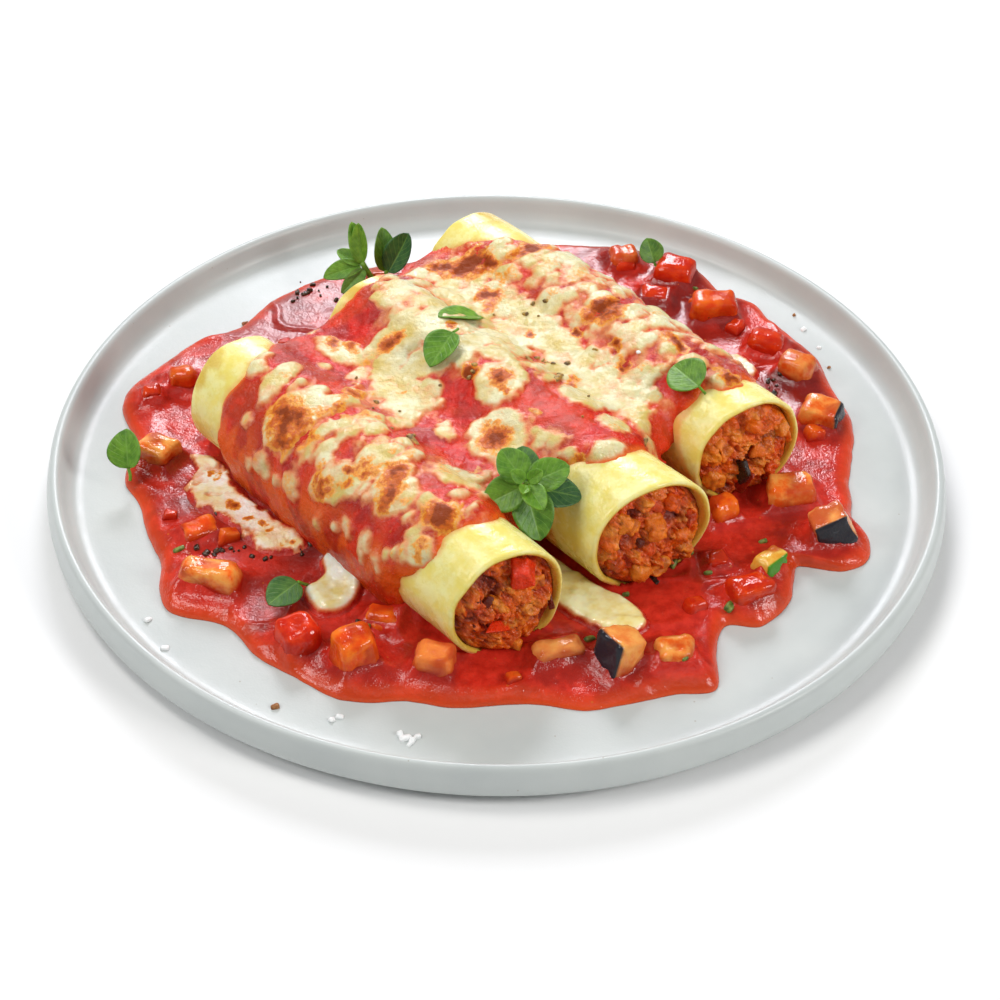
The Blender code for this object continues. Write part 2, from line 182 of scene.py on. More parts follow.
def join(shapes):
    """Many shapes as one; a value that a shape lacks is 0 on it."""
    for shape in shapes:
        face_outward(shape)
    names = sorted({name for shape in shapes for name in shape.fields})
    starts = np.cumsum([0] + [len(shape.points) for shape in shapes])
    fields = {name: np.concatenate([shape.fields.get(name, np.zeros(len(shape.points)))
                                    for shape in shapes]) for name in names}
    return Shape(np.concatenate([shape.points for shape in shapes]),
                 np.concatenate([shape.quads + start for shape, start in zip(shapes, starts)]),
                 np.concatenate([shape.tris + start for shape, start in zip(shapes, starts)]),
                 **fields)


def grid_quads(rows, columns, close_rows=False, close_columns=False, start=0):
    """Quads between neighbouring points of a grid, closed on itself where asked."""
    r = np.arange(rows if close_rows else rows - 1)[:, None]
    c = np.arange(columns if close_columns else columns - 1)[None, :]
    r2, c2 = (r + 1) % rows, (c + 1) % columns
    corners = [r * columns + c, r * columns + c2, r2 * columns + c2, r2 * columns + c]
    return np.stack([corner.ravel() for corner in corners], axis=-1) + start


def end_fans(rows, around):
    """Triangles that close both ends of a tube of rings; the tube's points are followed by the
    first end's middle and the last end's middle."""
    here = np.arange(around)
    after = (here + 1) % around
    top = (rows - 1) * around
    low, high = rows * around, rows * around + 1
    return np.concatenate([np.stack([after, here, here * 0 + low], axis=-1),
                           np.stack([here + top, after + top, here * 0 + high], axis=-1)])


def curve_between(p0, p1, p2, p3, t):
    """Catmull-Rom cubic: the stretch from p1 to p2, for t from 0 to 1."""
    return 0.5 * (2 * p1 + (p2 - p0) * t + (2 * p0 - 5 * p1 + 4 * p2 - p3) * t ** 2
                  + (3 * p1 - p0 - 3 * p2 + p3) * t ** 3)


def add_piece(name, shape, material, nodes=()):
    """Put a shape into a mesh object that rides on the body and stands for some CAD nodes."""
    face_outward(shape)
    quads, tris = shape.quads, shape.tris
    mesh = bpy.data.meshes.new(name)
    mesh.vertices.add(len(shape.points))
    mesh.vertices.foreach_set("co", (shape.points * MM).ravel())
    mesh.loops.add(quads.size + tris.size)
    mesh.loops.foreach_set("vertex_index", np.concatenate([quads.ravel(), tris.ravel()]))
    mesh.polygons.add(len(quads) + len(tris))
    starts = np.concatenate([np.arange(len(quads)) * 4, quads.size + np.arange(len(tris)) * 3])
    mesh.polygons.foreach_set("loop_start", starts)
    for field, values in shape.fields.items():
        layer = mesh.attributes.new(field, "FLOAT", "POINT")
        layer.data.foreach_set("value", values)
    mesh.update(calc_edges=True)
    mesh.validate()
    mesh.shade_smooth()
    mesh.materials.append(material)
    thing = bpy.data.objects.new(name, mesh)
    bpy.context.scene.collection.objects.link(thing)
    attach(thing, BODY)
    if nodes:
        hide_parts(*nodes)


def unit_cube(steps):
    """A cube's surface as a grid on each side, closer together near its edges."""
    line = np.sin(np.linspace(-1, 1, steps) * math.pi / 2)
    a, b = np.meshgrid(line, line, indexing="ij")
    one = np.ones_like(a)
    sides = [(a, b, one), (b, a, -one), (one, a, b), (-one, b, a), (b, one, a), (a, -one, b)]
    points = np.concatenate([np.stack(side, axis=-1).reshape(-1, 3) for side in sides])
    quads = np.concatenate([grid_quads(steps, steps, start=k * steps * steps) for k in range(6)])
    keys, index = np.unique(np.round(points, 5), axis=0, return_inverse=True)
    return keys, index.ravel()[quads]


COARSE, FINE = 4, 11
UNIT_CUBES = {steps: unit_cube(steps) for steps in (COARSE, FINE)}


def chunk(half, seed, taper=0.0, lean=0.0, dented=0.4, steps=COARSE, rounding=0.45):
    """Points and quads of a cut piece round the origin: a box with rounded edges, narrower
    upwards by a taper, leaning sideways, and dented; and each point's place on the unit cube."""
    unit, quads = UNIT_CUBES[steps]
    half = np.asarray(half, float)
    radius = min(2.2, rounding * half.min())
    place = unit * half
    core = np.clip(place, radius - half, half - radius)
    out = place - core
    out = out / np.maximum(np.linalg.norm(out, axis=1, keepdims=True), 1e-6)
    local = core + out * radius
    level = local[:, 2] / half[2]
    local[:, :2] *= (1.0 - taper * level)[:, None]
    local[:, 0] += lean * half[2] * level
    dent = rough(local + seed * 13.0, 1.3 * half.max(), 2, 301)
    dent = dent + 0.3 * rough(local + seed * 7.0, 1.6, 2, 303)
    return local + out * (dented * min(1.0, half.min() / 2.5) * dent)[:, None], quads, unit


def turned_axes(heading, pitch, roll):
    """Three axes turned by a heading about z, then a pitch and a roll, in degrees."""
    h, p, r = (math.radians(value) for value in (heading, pitch, roll))
    about_z = np.array([[math.cos(h), math.sin(h), 0], [-math.sin(h), math.cos(h), 0], [0, 0, 1]])
    about_y = np.array([[math.cos(p), 0, -math.sin(p)], [0, 1, 0], [math.sin(p), 0, math.cos(p)]])
    about_x = np.array([[1, 0, 0], [0, math.cos(r), math.sin(r)], [0, -math.sin(r), math.cos(r)]])
    return about_x @ about_y @ about_z


# ------------------------ places

def to_xyz(u, v, z):
    """Roll coordinates to x, y and z."""
    u, v, z = np.broadcast_arrays(np.asarray(u, float), v, z)
    c, s = math.cos(HEADING), math.sin(HEADING)
    return np.stack([u * c - v * s, u * s + v * c, z], axis=-1)


def to_uv(x, y):
    """x and y to roll coordinates u and v."""
    c, s = math.cos(HEADING), math.sin(HEADING)
    return x * c + y * s, -x * s + y * c


def axis_height(roll):
    """Height of a roll's axis: it rests just over the plate, flattened below."""
    return PLATE_FLOOR + ROLL_GAP + FLATTENING * roll.half_height


def drape_arcs():
    """Arcs of the topping's cross-section: centre, radius, start and end turn, side, roll.
    A circle round each roll, and between two rolls a hollow circle that touches both."""
    centres = [np.array([roll.v, axis_height(roll)]) for roll in ROLLS]
    radii = [roll.half_height + TOPPING_CLEARANCE for roll in ROLLS]
    dips = []
    for i in (0, 1):
        way = centres[i + 1] - centres[i]
        distance = np.hypot(*way)
        near, far = radii[i] + VALLEY_RADIUS, radii[i + 1] + VALLEY_RADIUS
        along = (distance ** 2 + near ** 2 - far ** 2) / (2.0 * distance)
        way = way / distance
        rise = math.sqrt(near ** 2 - along ** 2)
        dips.append(centres[i] + way * along + np.array([-way[1], way[0]]) * rise)
    arcs = []
    start = math.pi + SKIRT_ANGLE
    for i, (centre, radius) in enumerate(zip(centres, radii)):
        last = i == 2
        end = -SKIRT_ANGLE if last else math.atan2(*(dips[i] - centre)[::-1])
        arcs.append((centre, radius, start, end, 1, ROLLS[i]))
        if not last:
            turns = [math.atan2(*(other - dips[i])[::-1]) for other in (centre, centres[i + 1])]
            arcs.append((dips[i], VALLEY_RADIUS, turns[0], turns[1], -1, None))
            start = math.atan2(*(dips[i] - centres[i + 1])[::-1])
    return arcs


ARCS = drape_arcs()
ARC_STARTS = np.cumsum([0.0] + [abs(end - start) * radius
                                for _, radius, start, end, _, _ in ARCS])
DRAPE_LENGTH = ARC_STARTS[-1]


def drape(length):
    """At a length over the cross-section: v, z, the outward direction, and how far the pasta
    lies below.  The first and last circles run on past their ends."""
    length = np.asarray(length, float)
    v, z, out_v, out_z = (np.zeros_like(length) for _ in range(4))
    seat = np.full_like(length, -1.0)
    for i, (centre, radius, start, end, side, roll) in enumerate(ARCS):
        low = -1e9 if i == 0 else ARC_STARTS[i]
        here = length >= low
        rate = (end - start) / (ARC_STARTS[i + 1] - ARC_STARTS[i])
        turn = start + rate * (length - ARC_STARTS[i])
        v = np.where(here, centre[0] + radius * np.cos(turn), v)
        z = np.where(here, centre[1] + radius * np.sin(turn), z)
        out_v = np.where(here, side * np.cos(turn), out_v)
        out_z = np.where(here, side * np.sin(turn), out_z)
        if roll:
            skin = 1.0 / np.sqrt((np.cos(turn) / roll.half_width) ** 2
                                 + (np.sin(turn) / roll.half_height) ** 2)
            seat = np.where(here, skin - radius, seat)
        else:
            seat = np.where(here, -1.0, seat)
    return v, z, out_v, out_z, seat


def topping_point(u, s, offset):
    """The point at a distance u along the rolls and s across them, raised off the drape."""
    v, z, out_v, out_z, _ = drape(s)
    return to_xyz(u, v + out_v * offset, z + out_z * offset)


# ------------------------ shader building

def finish(name, roughness=0.5, **constants):
    """A material with a Principled shader; constants are set on the shader's own sockets."""
    made = bpy.data.materials.new(name)
    made.use_nodes = True
    shader = made.node_tree.nodes["Principled BSDF"]
    shader.inputs["Roughness"].default_value = roughness
    for socket, value in constants.items():
        shader.inputs[socket.replace("_", " ")].default_value = value
    return made, made.node_tree, shader


def put(tree, kind, inputs=None, **settings):
    """Add a node; inputs are values or other nodes' outputs, by socket name or number."""
    node = tree.nodes.new(kind)
    for key, value in settings.items():
        setattr(node, key, value)
    for key, value in (inputs or {}).items():
        if isinstance(value, bpy.types.NodeSocket):
            tree.links.new(value, node.inputs[key])
        else:
            node.inputs[key].default_value = value
    return node


def maths(tree, operation, *values, clamp=False):
    """One step of arithmetic on values or outputs."""
    inputs = dict(enumerate(values))
    return put(tree, "ShaderNodeMath", inputs, operation=operation, use_clamp=clamp).outputs[0]


def blend_colour(tree, share, low, high, mode="MIX"):
    """From one colour to another by a share from 0 to 1."""
    node = put(tree, "ShaderNodeMix", {0: share, 6: low, 7: high}, data_type="RGBA",
               blend_type=mode)
    return node.outputs[2]


def spread(tree, value, low, high, to_low=0.0, to_high=1.0):
    """A value from low to high, spread smoothly over another range."""
    node = put(tree, "ShaderNodeMapRange", {0: value, 1: low, 2: high, 3: to_low, 4: to_high},
               interpolation_type="SMOOTHSTEP")
    return node.outputs[0]


def attribute(tree, name):
    """A value that the mesh carries at its points."""
    return put(tree, "ShaderNodeAttribute", attribute_name=name).outputs["Fac"]


def object_coordinates(tree):
    """Place in metres, in the frame's own axes."""
    return put(tree, "ShaderNodeTexCoord").outputs["Object"]


def new_group(name, inputs, outputs):
    """A shader node group with named sockets: (name, socket type, default) and (name, type)."""
    group = bpy.data.node_groups.new(name, "ShaderNodeTree")
    for label, kind, default in inputs:
        socket = group.interface.new_socket(label, in_out="INPUT", socket_type=kind)
        socket.default_value = default
    for label, kind in outputs:
        group.interface.new_socket(label, in_out="OUTPUT", socket_type=kind)
    return group, put(group, "NodeGroupInput"), put(group, "NodeGroupOutput")


def make_grain_group():
    """Mottle: soft noise at a size with a finer one on top, as a mask and as a height."""
    group, given, out = new_group(
        "food_grain",
        [("Size", "NodeSocketFloat", 3.0), ("Fineness", "NodeSocketFloat", 3.0),
         ("Contrast", "NodeSocketFloat", 1.0)],
        [("Mask", "NodeSocketFloat"), ("Height", "NodeSocketFloat")])
    place = object_coordinates(group)
    scale = maths(group, "DIVIDE", 1.0 / MM, given.outputs["Size"])
    wide = put(group, "ShaderNodeTexNoise", {"Vector": place, "Scale": scale, "Detail": 3.0,
                                             "Roughness": 0.6})
    finer = maths(group, "MULTIPLY", scale, given.outputs["Fineness"])
    fine = put(group, "ShaderNodeTexNoise", {"Vector": place, "Scale": finer, "Detail": 2.0})
    offset = maths(group, "SUBTRACT", wide.outputs[0], 0.5)
    swing = maths(group, "MULTIPLY", offset, given.outputs["Contrast"])
    mask = maths(group, "MULTIPLY_ADD", swing, 2.5, 0.5, clamp=True)
    group.links.new(mask, out.inputs["Mask"])
    group.links.new(maths(group, "MULTIPLY_ADD", fine.outputs[0], 0.4, wide.outputs[0]),
                    out.inputs["Height"])
    return group


def make_speck_group():
    """Specks: round dots scattered in cells of a size; Cover is how much of a cell one takes."""
    group, given, out = new_group(
        "food_specks",
        [("Size", "NodeSocketFloat", 2.0), ("Cover", "NodeSocketFloat", 0.2),
         ("Share", "NodeSocketFloat", 0.5)],
        [("Mask", "NodeSocketFloat")])
    place = object_coordinates(group)
    scale = maths(group, "DIVIDE", 1.0 / MM, given.outputs["Size"])
    dots = put(group, "ShaderNodeTexVoronoi", {"Vector": place, "Scale": scale})
    near = maths(group, "LESS_THAN", dots.outputs["Distance"], given.outputs["Cover"])
    pick = put(group, "ShaderNodeSeparateColor", {0: dots.outputs["Color"]}).outputs[0]
    chosen = maths(group, "LESS_THAN", pick, given.outputs["Share"])
    group.links.new(maths(group, "MULTIPLY", near, chosen), out.inputs["Mask"])
    return group


GRAIN = make_grain_group()
SPECKS = make_speck_group()


def grain(tree, size, fineness=3.0, contrast=1.0):
    """The mottle group at a size in millimetres; its outputs are Mask and Height."""
    node = put(tree, "ShaderNodeGroup", node_tree=GRAIN)
    for socket, value in (("Size", size), ("Fineness", fineness), ("Contrast", contrast)):
        node.inputs[socket].default_value = value
    return node


def specks(tree, size, cover, share):
    """The speck group's mask, for cells of a size in millimetres."""
    node = put(tree, "ShaderNodeGroup", node_tree=SPECKS)
    for socket, value in (("Size", size), ("Cover", cover), ("Share", share)):
        node.inputs[socket].default_value = value
    return node.outputs[0]


def dress(tree, shader, colour, roughness, height, strength, depth):
    """Feed a shader its colour, its roughness where that varies, and relief of a depth in
    millimetres."""
    tree.links.new(colour, shader.inputs["Base Color"])
    if roughness:
        tree.links.new(roughness, shader.inputs["Roughness"])
    relief = put(tree, "ShaderNodeBump", {"Height": height, "Strength": strength,
                                          "Distance": depth * MM})
    tree.links.new(relief.outputs[0], shader.inputs["Normal"])


def rgb(red, green, blue):
    """An opaque colour."""
    return (red, green, blue, 1.0)


# ------------------------ finishes

def plate_finish():
    """Pale cool stoneware glaze: satin, faintly clouded, with a few fine specks."""
    made, tree, shader = finish("plate_glaze", 0.32, Specular_IOR_Level=0.4)
    cloud = grain(tree, 22.0, 6.0)
    base = blend_colour(tree, cloud.outputs["Mask"], rgb(0.520, 0.556, 0.545),
                        rgb(0.568, 0.602, 0.585))
    colour = blend_colour(tree, specks(tree, 5.0, 0.05, 0.3), base, rgb(0.42, 0.41, 0.37))
    roughness = spread(tree, cloud.outputs["Height"], 0.3, 1.1, 0.28, 0.42)
    dress(tree, shader, colour, roughness, grain(tree, 2.5, 4.0).outputs["Height"], 0.12, 0.25)
    return made


def sauce_colour(tree, deep, shallow, pulp):
    """Cooked tomato: deep red where thick, orange where thin, maroon in dark wet patches and in
    painted shade behind the rolls, clouded, with orange flecks."""
    light = tuple(c * f for c, f in zip(deep, (1.35, 1.8, 1.8)))
    dark = blend_colour(tree, pulp.outputs["Mask"], rgb(*deep), rgb(*light))
    clouds = grain(tree, 15.0, 3.0, 1.5)
    dark = blend_colour(tree, spread(tree, clouds.outputs["Mask"], 0.35, 0.85, 0.0, 0.75), dark,
                        rgb(*(0.60 * c for c in deep)))
    # Maroon: painted shade behind the rolls, and real dark wet patches round the pepper.
    dark = blend_colour(tree, attribute(tree, "stewed"), dark, rgb(0.19, 0.013, 0.010))
    colour = blend_colour(tree, attribute(tree, "thick"), rgb(*shallow), dark)
    flecks = specks(tree, 3.4, 0.10, 0.25)
    return blend_colour(tree, maths(tree, "MULTIPLY", flecks, 0.6), colour, rgb(0.62, 0.14, 0.02))


def sauce_finish(name, deep, shallow, pulp_size, relief, rough_from, shine):
    """Sauce with pulp and a wet gloss, rougher where the pulp stands up."""
    made, tree, shader = finish(name, 0.2, Subsurface_Weight=0.08, Subsurface_Scale=0.002,
                                Subsurface_Radius=(1.0, 0.15, 0.08), Specular_IOR_Level=shine)
    pulp = grain(tree, pulp_size, 3.5, 1.3)
    colour = sauce_colour(tree, deep, shallow, pulp)
    roughness = spread(tree, pulp.outputs["Height"], 0.3, 1.0, rough_from, rough_from + 0.16)
    grit = grain(tree, 0.9, 2.0, 1.3)
    height = maths(tree, "MULTIPLY_ADD", grit.outputs["Height"], 0.45 * relief,
                   pulp.outputs["Height"])
    dress(tree, shader, colour, roughness, height, relief, 0.4)
    return made


def pasta_finish():
    """Cooked pasta: pale yellow, mottled, slightly translucent and moist."""
    made, tree, shader = finish("pasta", 0.26, Subsurface_Weight=0.18, Subsurface_Scale=0.004,
                                Subsurface_Radius=(1.0, 0.7, 0.25), Specular_IOR_Level=0.45)
    mottle = grain(tree, 5.0, 3.0, 1.5)
    wrinkle = grain(tree, 1.6, 3.0, 1.4)
    base = blend_colour(tree, mottle.outputs["Mask"], rgb(0.90, 0.75, 0.18), rgb(0.97, 0.88, 0.37))
    stained = blend_colour(tree, attribute(tree, "stain"), base, rgb(0.84, 0.27, 0.03))
    rim = blend_colour(tree, attribute(tree, "rim"), stained, rgb(0.72, 0.48, 0.06))
    roughness = spread(tree, mottle.outputs["Height"], 0.3, 1.1, 0.17, 0.36)
    height = maths(tree, "MULTIPLY_ADD", wrinkle.outputs["Height"], 0.5, mottle.outputs["Height"])
    dress(tree, shader, rim, roughness, height, 0.42, 0.45)
    return made


def filling_finish():
    """Minced filling: orange-red lumps, each in its own tone, with painted shade in the gaps and
    pits.
    """
    made, tree, shader = finish("meat_filling", 0.25, Subsurface_Weight=0.12,
                                Subsurface_Scale=0.0015, Subsurface_Radius=(1.0, 0.3, 0.1),
                                Specular_IOR_Level=0.50)
    mottle = grain(tree, 2.0, 3.0, 1.4)
    ramp = put(tree, "ShaderNodeValToRGB", {0: attribute(tree, "tone")})
    stops = ((0.0, (0.03, 0.016, 0.010)), (0.10, (0.40, 0.030, 0.006)),
             (0.40, (0.82, 0.090, 0.006)), (0.70, (0.98, 0.20, 0.010)),
             (0.9, (1.0, 0.34, 0.030)), (1.0, (0.94, 0.050, 0.008)))
    elements = ramp.color_ramp.elements
    while len(elements) < len(stops):
        elements.new(0.5)
    for element, (place, colour) in zip(elements, stops):
        element.position = place
        element.color = rgb(*colour)
    darker = blend_colour(tree, 1.0, ramp.outputs[0], rgb(0.82, 0.66, 0.55), "MULTIPLY")
    mild = blend_colour(tree, mottle.outputs["Mask"], darker, ramp.outputs[0])
    # Painted shade: a dark red-brown in the cracks, pits and sunken places, and round the rim where
    # the pasta overhangs.
    colour = blend_colour(tree, attribute(tree, "hollow"), mild, rgb(0.26, 0.026, 0.006))
    roughness = spread(tree, mottle.outputs["Height"], 0.3, 1.1, 0.14, 0.40)
    fine = grain(tree, 0.8, 2.0, 1.3)
    height = maths(tree, "MULTIPLY_ADD", fine.outputs["Height"], 0.5, mottle.outputs["Height"])
    dress(tree, shader, colour, roughness, height, 0.8, 0.6)
    return made


def cheese_finish(name, cream, sauce, wrinkled=0.68):
    """Melted cheese: cream where thick, peach and then sauce where thin, tan to brown where
    baked, with fine wet wrinkles."""
    made, tree, shader = finish(name, 0.25, Subsurface_Weight=0.20, Subsurface_Scale=0.002,
                                Subsurface_Radius=(1.0, 0.6, 0.25), Specular_IOR_Level=0.46)
    mottle = grain(tree, 3.0, 3.0, 1.3)
    fine = grain(tree, 1.0, 3.0, 1.4)
    milk = attribute(tree, "milk")
    bake = attribute(tree, "bake")
    broad = grain(tree, 9.0, 3.0, 1.5)
    warm = tuple(c * f for c, f in zip(cream, (0.92, 0.81, 0.52)))
    pale = tuple(c * f for c, f in zip(cream, (1.12, 1.22, 1.75)))
    body = blend_colour(tree, broad.outputs["Mask"], rgb(*warm), rgb(*pale))
    film = sauce_colour(tree, *sauce, mottle)
    cloud = maths(tree, "SUBTRACT", mottle.outputs["Mask"], 0.5)
    veil = maths(tree, "MULTIPLY_ADD", cloud, 0.22, milk)
    peach = blend_colour(tree, spread(tree, veil, 0.10, 0.56), film, rgb(0.82, 0.30, 0.11))
    colour = blend_colour(tree, spread(tree, veil, 0.38, 0.98), peach, body)
    speckle = maths(tree, "SUBTRACT", fine.outputs["Mask"], 0.5)
    crust = maths(tree, "MULTIPLY_ADD", speckle, 0.34, bake)
    crust = maths(tree, "MULTIPLY", crust, spread(tree, bake, 0.05, 0.40))
    amber = blend_colour(tree, spread(tree, crust, 0.02, 0.36), colour, rgb(0.88, 0.36, 0.040))
    tan = blend_colour(tree, spread(tree, crust, 0.28, 0.70), amber, rgb(0.60, 0.120, 0.008))
    brown = blend_colour(tree, spread(tree, crust, 0.68, 1.15), tan, rgb(0.28, 0.044, 0.004))
    gloss = spread(tree, fine.outputs["Height"], 0.3, 1.1, 0.08, 0.25)
    dull = spread(tree, milk, 0.0, 0.35, 0.16, 0.0)
    dry = maths(tree, "ADD", dull, spread(tree, bake, 0.3, 1.1, 0.0, 0.25))
    roughness = maths(tree, "ADD", gloss, dry)
    tree.links.new(spread(tree, bake, 0.3, 1.0, 0.46, 0.16), shader.inputs["Specular IOR Level"])
    relief = maths(tree, "MULTIPLY_ADD", fine.outputs["Height"], 0.8,
                   maths(tree, "MULTIPLY", mottle.outputs["Height"], 0.6))
    dress(tree, shader, brown, roughness, relief, wrinkled, 0.48)
    return made


def vegetable_finish(name, low, high, skin, roughness):
    """A stewed cube: two tones of flesh, sauce soaked up from below, and skin on one side."""
    made, tree, shader = finish(name, roughness, Subsurface_Weight=0.10, Subsurface_Scale=0.0015,
                                Subsurface_Radius=(1.0, 0.35, 0.12), Specular_IOR_Level=0.36)
    mottle = grain(tree, 3.4, 3.0, 1.5)
    base = blend_colour(tree, mottle.outputs["Mask"], rgb(*low), rgb(*high))
    tinted = blend_colour(tree, attribute(tree, "pale"), base, rgb(0.90, 0.42, 0.12))
    soaked = blend_colour(tree, attribute(tree, "soak"), tinted,
                         rgb(0.46, 0.016, 0.006))
    colour = blend_colour(tree, attribute(tree, "skin"), soaked, rgb(*skin))
    dress(tree, shader, colour, None, mottle.outputs["Height"], 0.5, 0.5)
    return made


def leaf_finish():
    """Fresh oregano: green with paler veins and a slight sheen."""
    made, tree, shader = finish("oregano_leaf", 0.42, Subsurface_Weight=0.12,
                                Subsurface_Scale=0.0015, Subsurface_Radius=(0.4, 1.0, 0.2),
                                Specular_IOR_Level=0.4)
    across = maths(tree, "ABSOLUTE", attribute(tree, "across"))
    along = attribute(tree, "along")
    ribs = maths(tree, "SUBTRACT", maths(tree, "MULTIPLY", along, 6.5),
                 maths(tree, "MULTIPLY", across, 2.4))
    saw = maths(tree, "ABSOLUTE", maths(tree, "SUBTRACT", maths(tree, "FRACT", ribs), 0.5))
    side_veins = spread(tree, saw, 0.0, 0.12, 1.0, 0.0)
    midrib = spread(tree, across, 0.0, 0.10, 1.0, 0.0)
    vein = maths(tree, "MAXIMUM", maths(tree, "MULTIPLY", side_veins, 0.55), midrib)
    mottle = grain(tree, 2.2, 3.0, 1.2)
    fresh = blend_colour(tree, mottle.outputs["Mask"], rgb(0.085, 0.22, 0.012),
                         rgb(0.20, 0.40, 0.03))
    deep = blend_colour(tree, mottle.outputs["Mask"], rgb(0.02, 0.085, 0.03),
                        rgb(0.06, 0.16, 0.045))
    blade = blend_colour(tree, attribute(tree, "age"), fresh, deep)
    colour = blend_colour(tree, maths(tree, "MULTIPLY", vein, 0.5), blade, rgb(0.26, 0.46, 0.09))
    height = maths(tree, "SUBTRACT", mottle.outputs["Height"], maths(tree, "MULTIPLY", vein, 0.8))
    dress(tree, shader, colour, None, height, 0.5, 0.3)
    return made


def plain_finish(name, low, high, size, roughness):
    """Two mottled tones with a matching relief, for small things."""
    made, tree, shader = finish(name, roughness)
    mottle = grain(tree, size, 3.0, 1.4)
    colour = blend_colour(tree, mottle.outputs["Mask"], rgb(*low), rgb(*high))
    dress(tree, shader, colour, None, mottle.outputs["Height"], 0.4, 0.3)
    return made


# ------------------------ plate

def make_plate():
    """The plate's profile, rounded by a curve through its points and turned round the z axis.
    Foot ring, upright wall, soft narrow lip, flat floor."""
    profile = np.array([
        (88.6, 1.6), (89.4, 1.2), (90.0, 0.3), (90.6, 0.0), (93.4, 0.0), (94.0, 0.3),
        (94.8, 1.4), (97.0, 1.8), (110.0, 2.0), (119.5, 2.1), (122.4, 2.5), (124.2, 3.6),
        (124.9, 5.2), (124.8, 7.4), (124.3, 9.6), (123.9, 11.2), (123.3, 12.1), (122.4, 12.4),
        (121.5, 12.1), (120.8, 11.2), (120.2, 9.6), (119.5, 7.8), (118.3, 6.1), (116.4, 5.2),
        (113.5, 4.9), (105.0, 4.9), (80.0, 4.9), (40.0, 4.9)])
    steps, around = 3, 288
    last = len(profile) - 1
    stretches = (profile[np.clip(np.arange(last) + k, 0, last)][:, None] for k in (-1, 0, 1, 2))
    path = curve_between(*stretches, (np.arange(steps) / steps)[None, :, None])
    path = np.concatenate([path.reshape(-1, 2), profile[-1:]])
    turn = np.linspace(0.0, TAU, around, endpoint=False)
    radius, height = path[:, :1], path[:, 1:]
    rings = np.stack([radius * np.cos(turn), radius * np.sin(turn), height + 0 * turn], axis=-1)
    middles = [[0, 0, PLATE_UNDERSIDE], [0, 0, PLATE_FLOOR]]
    rows = len(path)
    shape = Shape(np.concatenate([rings.reshape(-1, 3), middles]),
                  grid_quads(rows, around, close_columns=True), end_fans(rows, around))
    add_piece("round_plate", shape, plate_finish(), ["plate"])


# ------------------------ diced vegetables

def cube_of(node):
    """Centre, axes and half sizes of a CAD cube, read from its own faces: the largest face
    gives the first axis and the largest one square to it the second."""
    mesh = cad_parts[node].data
    points = np.array([vert.co for vert in mesh.vertices]) / MM
    faces = sorted(mesh.polygons, key=lambda face: -face.area)
    first = np.array(faces[0].normal)
    second = next(np.array(face.normal) for face in faces
                  if abs(np.dot(first, face.normal)) < 0.3 and face.area > faces[0].area * 0.15)
    second = second - first * np.dot(first, second)
    axes = np.array([first, second / np.linalg.norm(second), np.cross(first, second)])
    axes[2] /= np.linalg.norm(axes[2])
    reach = points @ axes.T
    low, high = reach.min(axis=0), reach.max(axis=0)
    return ((low + high) / 2) @ axes, axes, (high - low) / 2


DICE = sorted(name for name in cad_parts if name.startswith("diced_"))
CUBES = {name: cube_of(name) for name in DICE}


def cube_footprint(name, x, y):
    """Distance from a cube's outline on the plate, negative inside it."""
    centre, axes, half = CUBES[name]
    upright = int(np.argmax(np.abs(axes[:, 2])))
    sides = [k for k in range(3) if k != upright]
    far = []
    for k in sides:
        way = axes[k][:2] / np.linalg.norm(axes[k][:2])
        far.append(np.abs((x - centre[0]) * way[0] + (y - centre[1]) * way[1]) - half[k])
    outside = np.sqrt(np.maximum(far[0], 0) ** 2 + np.maximum(far[1], 0) ** 2)
    return outside + np.minimum(np.maximum(far[0], far[1]), 0.0)


# ------------------------ sauce pool

def rounded_outline(outline, steps=12):
    """Closed curve through the outline's points, each stretch a Catmull-Rom cubic."""
    p1 = np.array(outline, float)[:, None]
    p0, p2, p3 = (np.roll(p1, shift, axis=0) for shift in (1, -1, -2))
    t = (np.arange(steps) / steps)[None, :, None]
    return curve_between(p0, p1, p2, p3, t).reshape(-1, 2)


def edge_radius(turn):
    """The pool's outline as a radius for each turn."""
    curve = rounded_outline(POOL_EDGE)
    angles = np.arctan2(curve[:, 1], curve[:, 0])
    order = np.argsort(angles)
    angles, radii = angles[order], np.hypot(*curve[order].T)
    wrapped = np.concatenate([angles - TAU, angles, angles + TAU])
    fine = np.linspace(-math.pi, math.pi, 2880, endpoint=False)
    values = np.interp(fine, wrapped, np.tile(radii, 3))
    kernel = np.hanning(25)
    kernel /= kernel.sum()
    values = np.convolve(np.concatenate([values[-12:], values, values[:12]]), kernel, mode="valid")
    return np.interp(turn, fine, values, period=TAU)


# Where the sauce has stewed dark: x, y, reach
STEWED_SPOTS = (
    (-66, -46, 14), (-50, -44, 9), (-84, -20, 9), (-58, 74, 14), (82, 32, 10), (60, -8, 9),
)
POOL_SAUCE = ((0.52, 0.020, 0.010), (0.78, 0.078, 0.010))     # deep, shallow


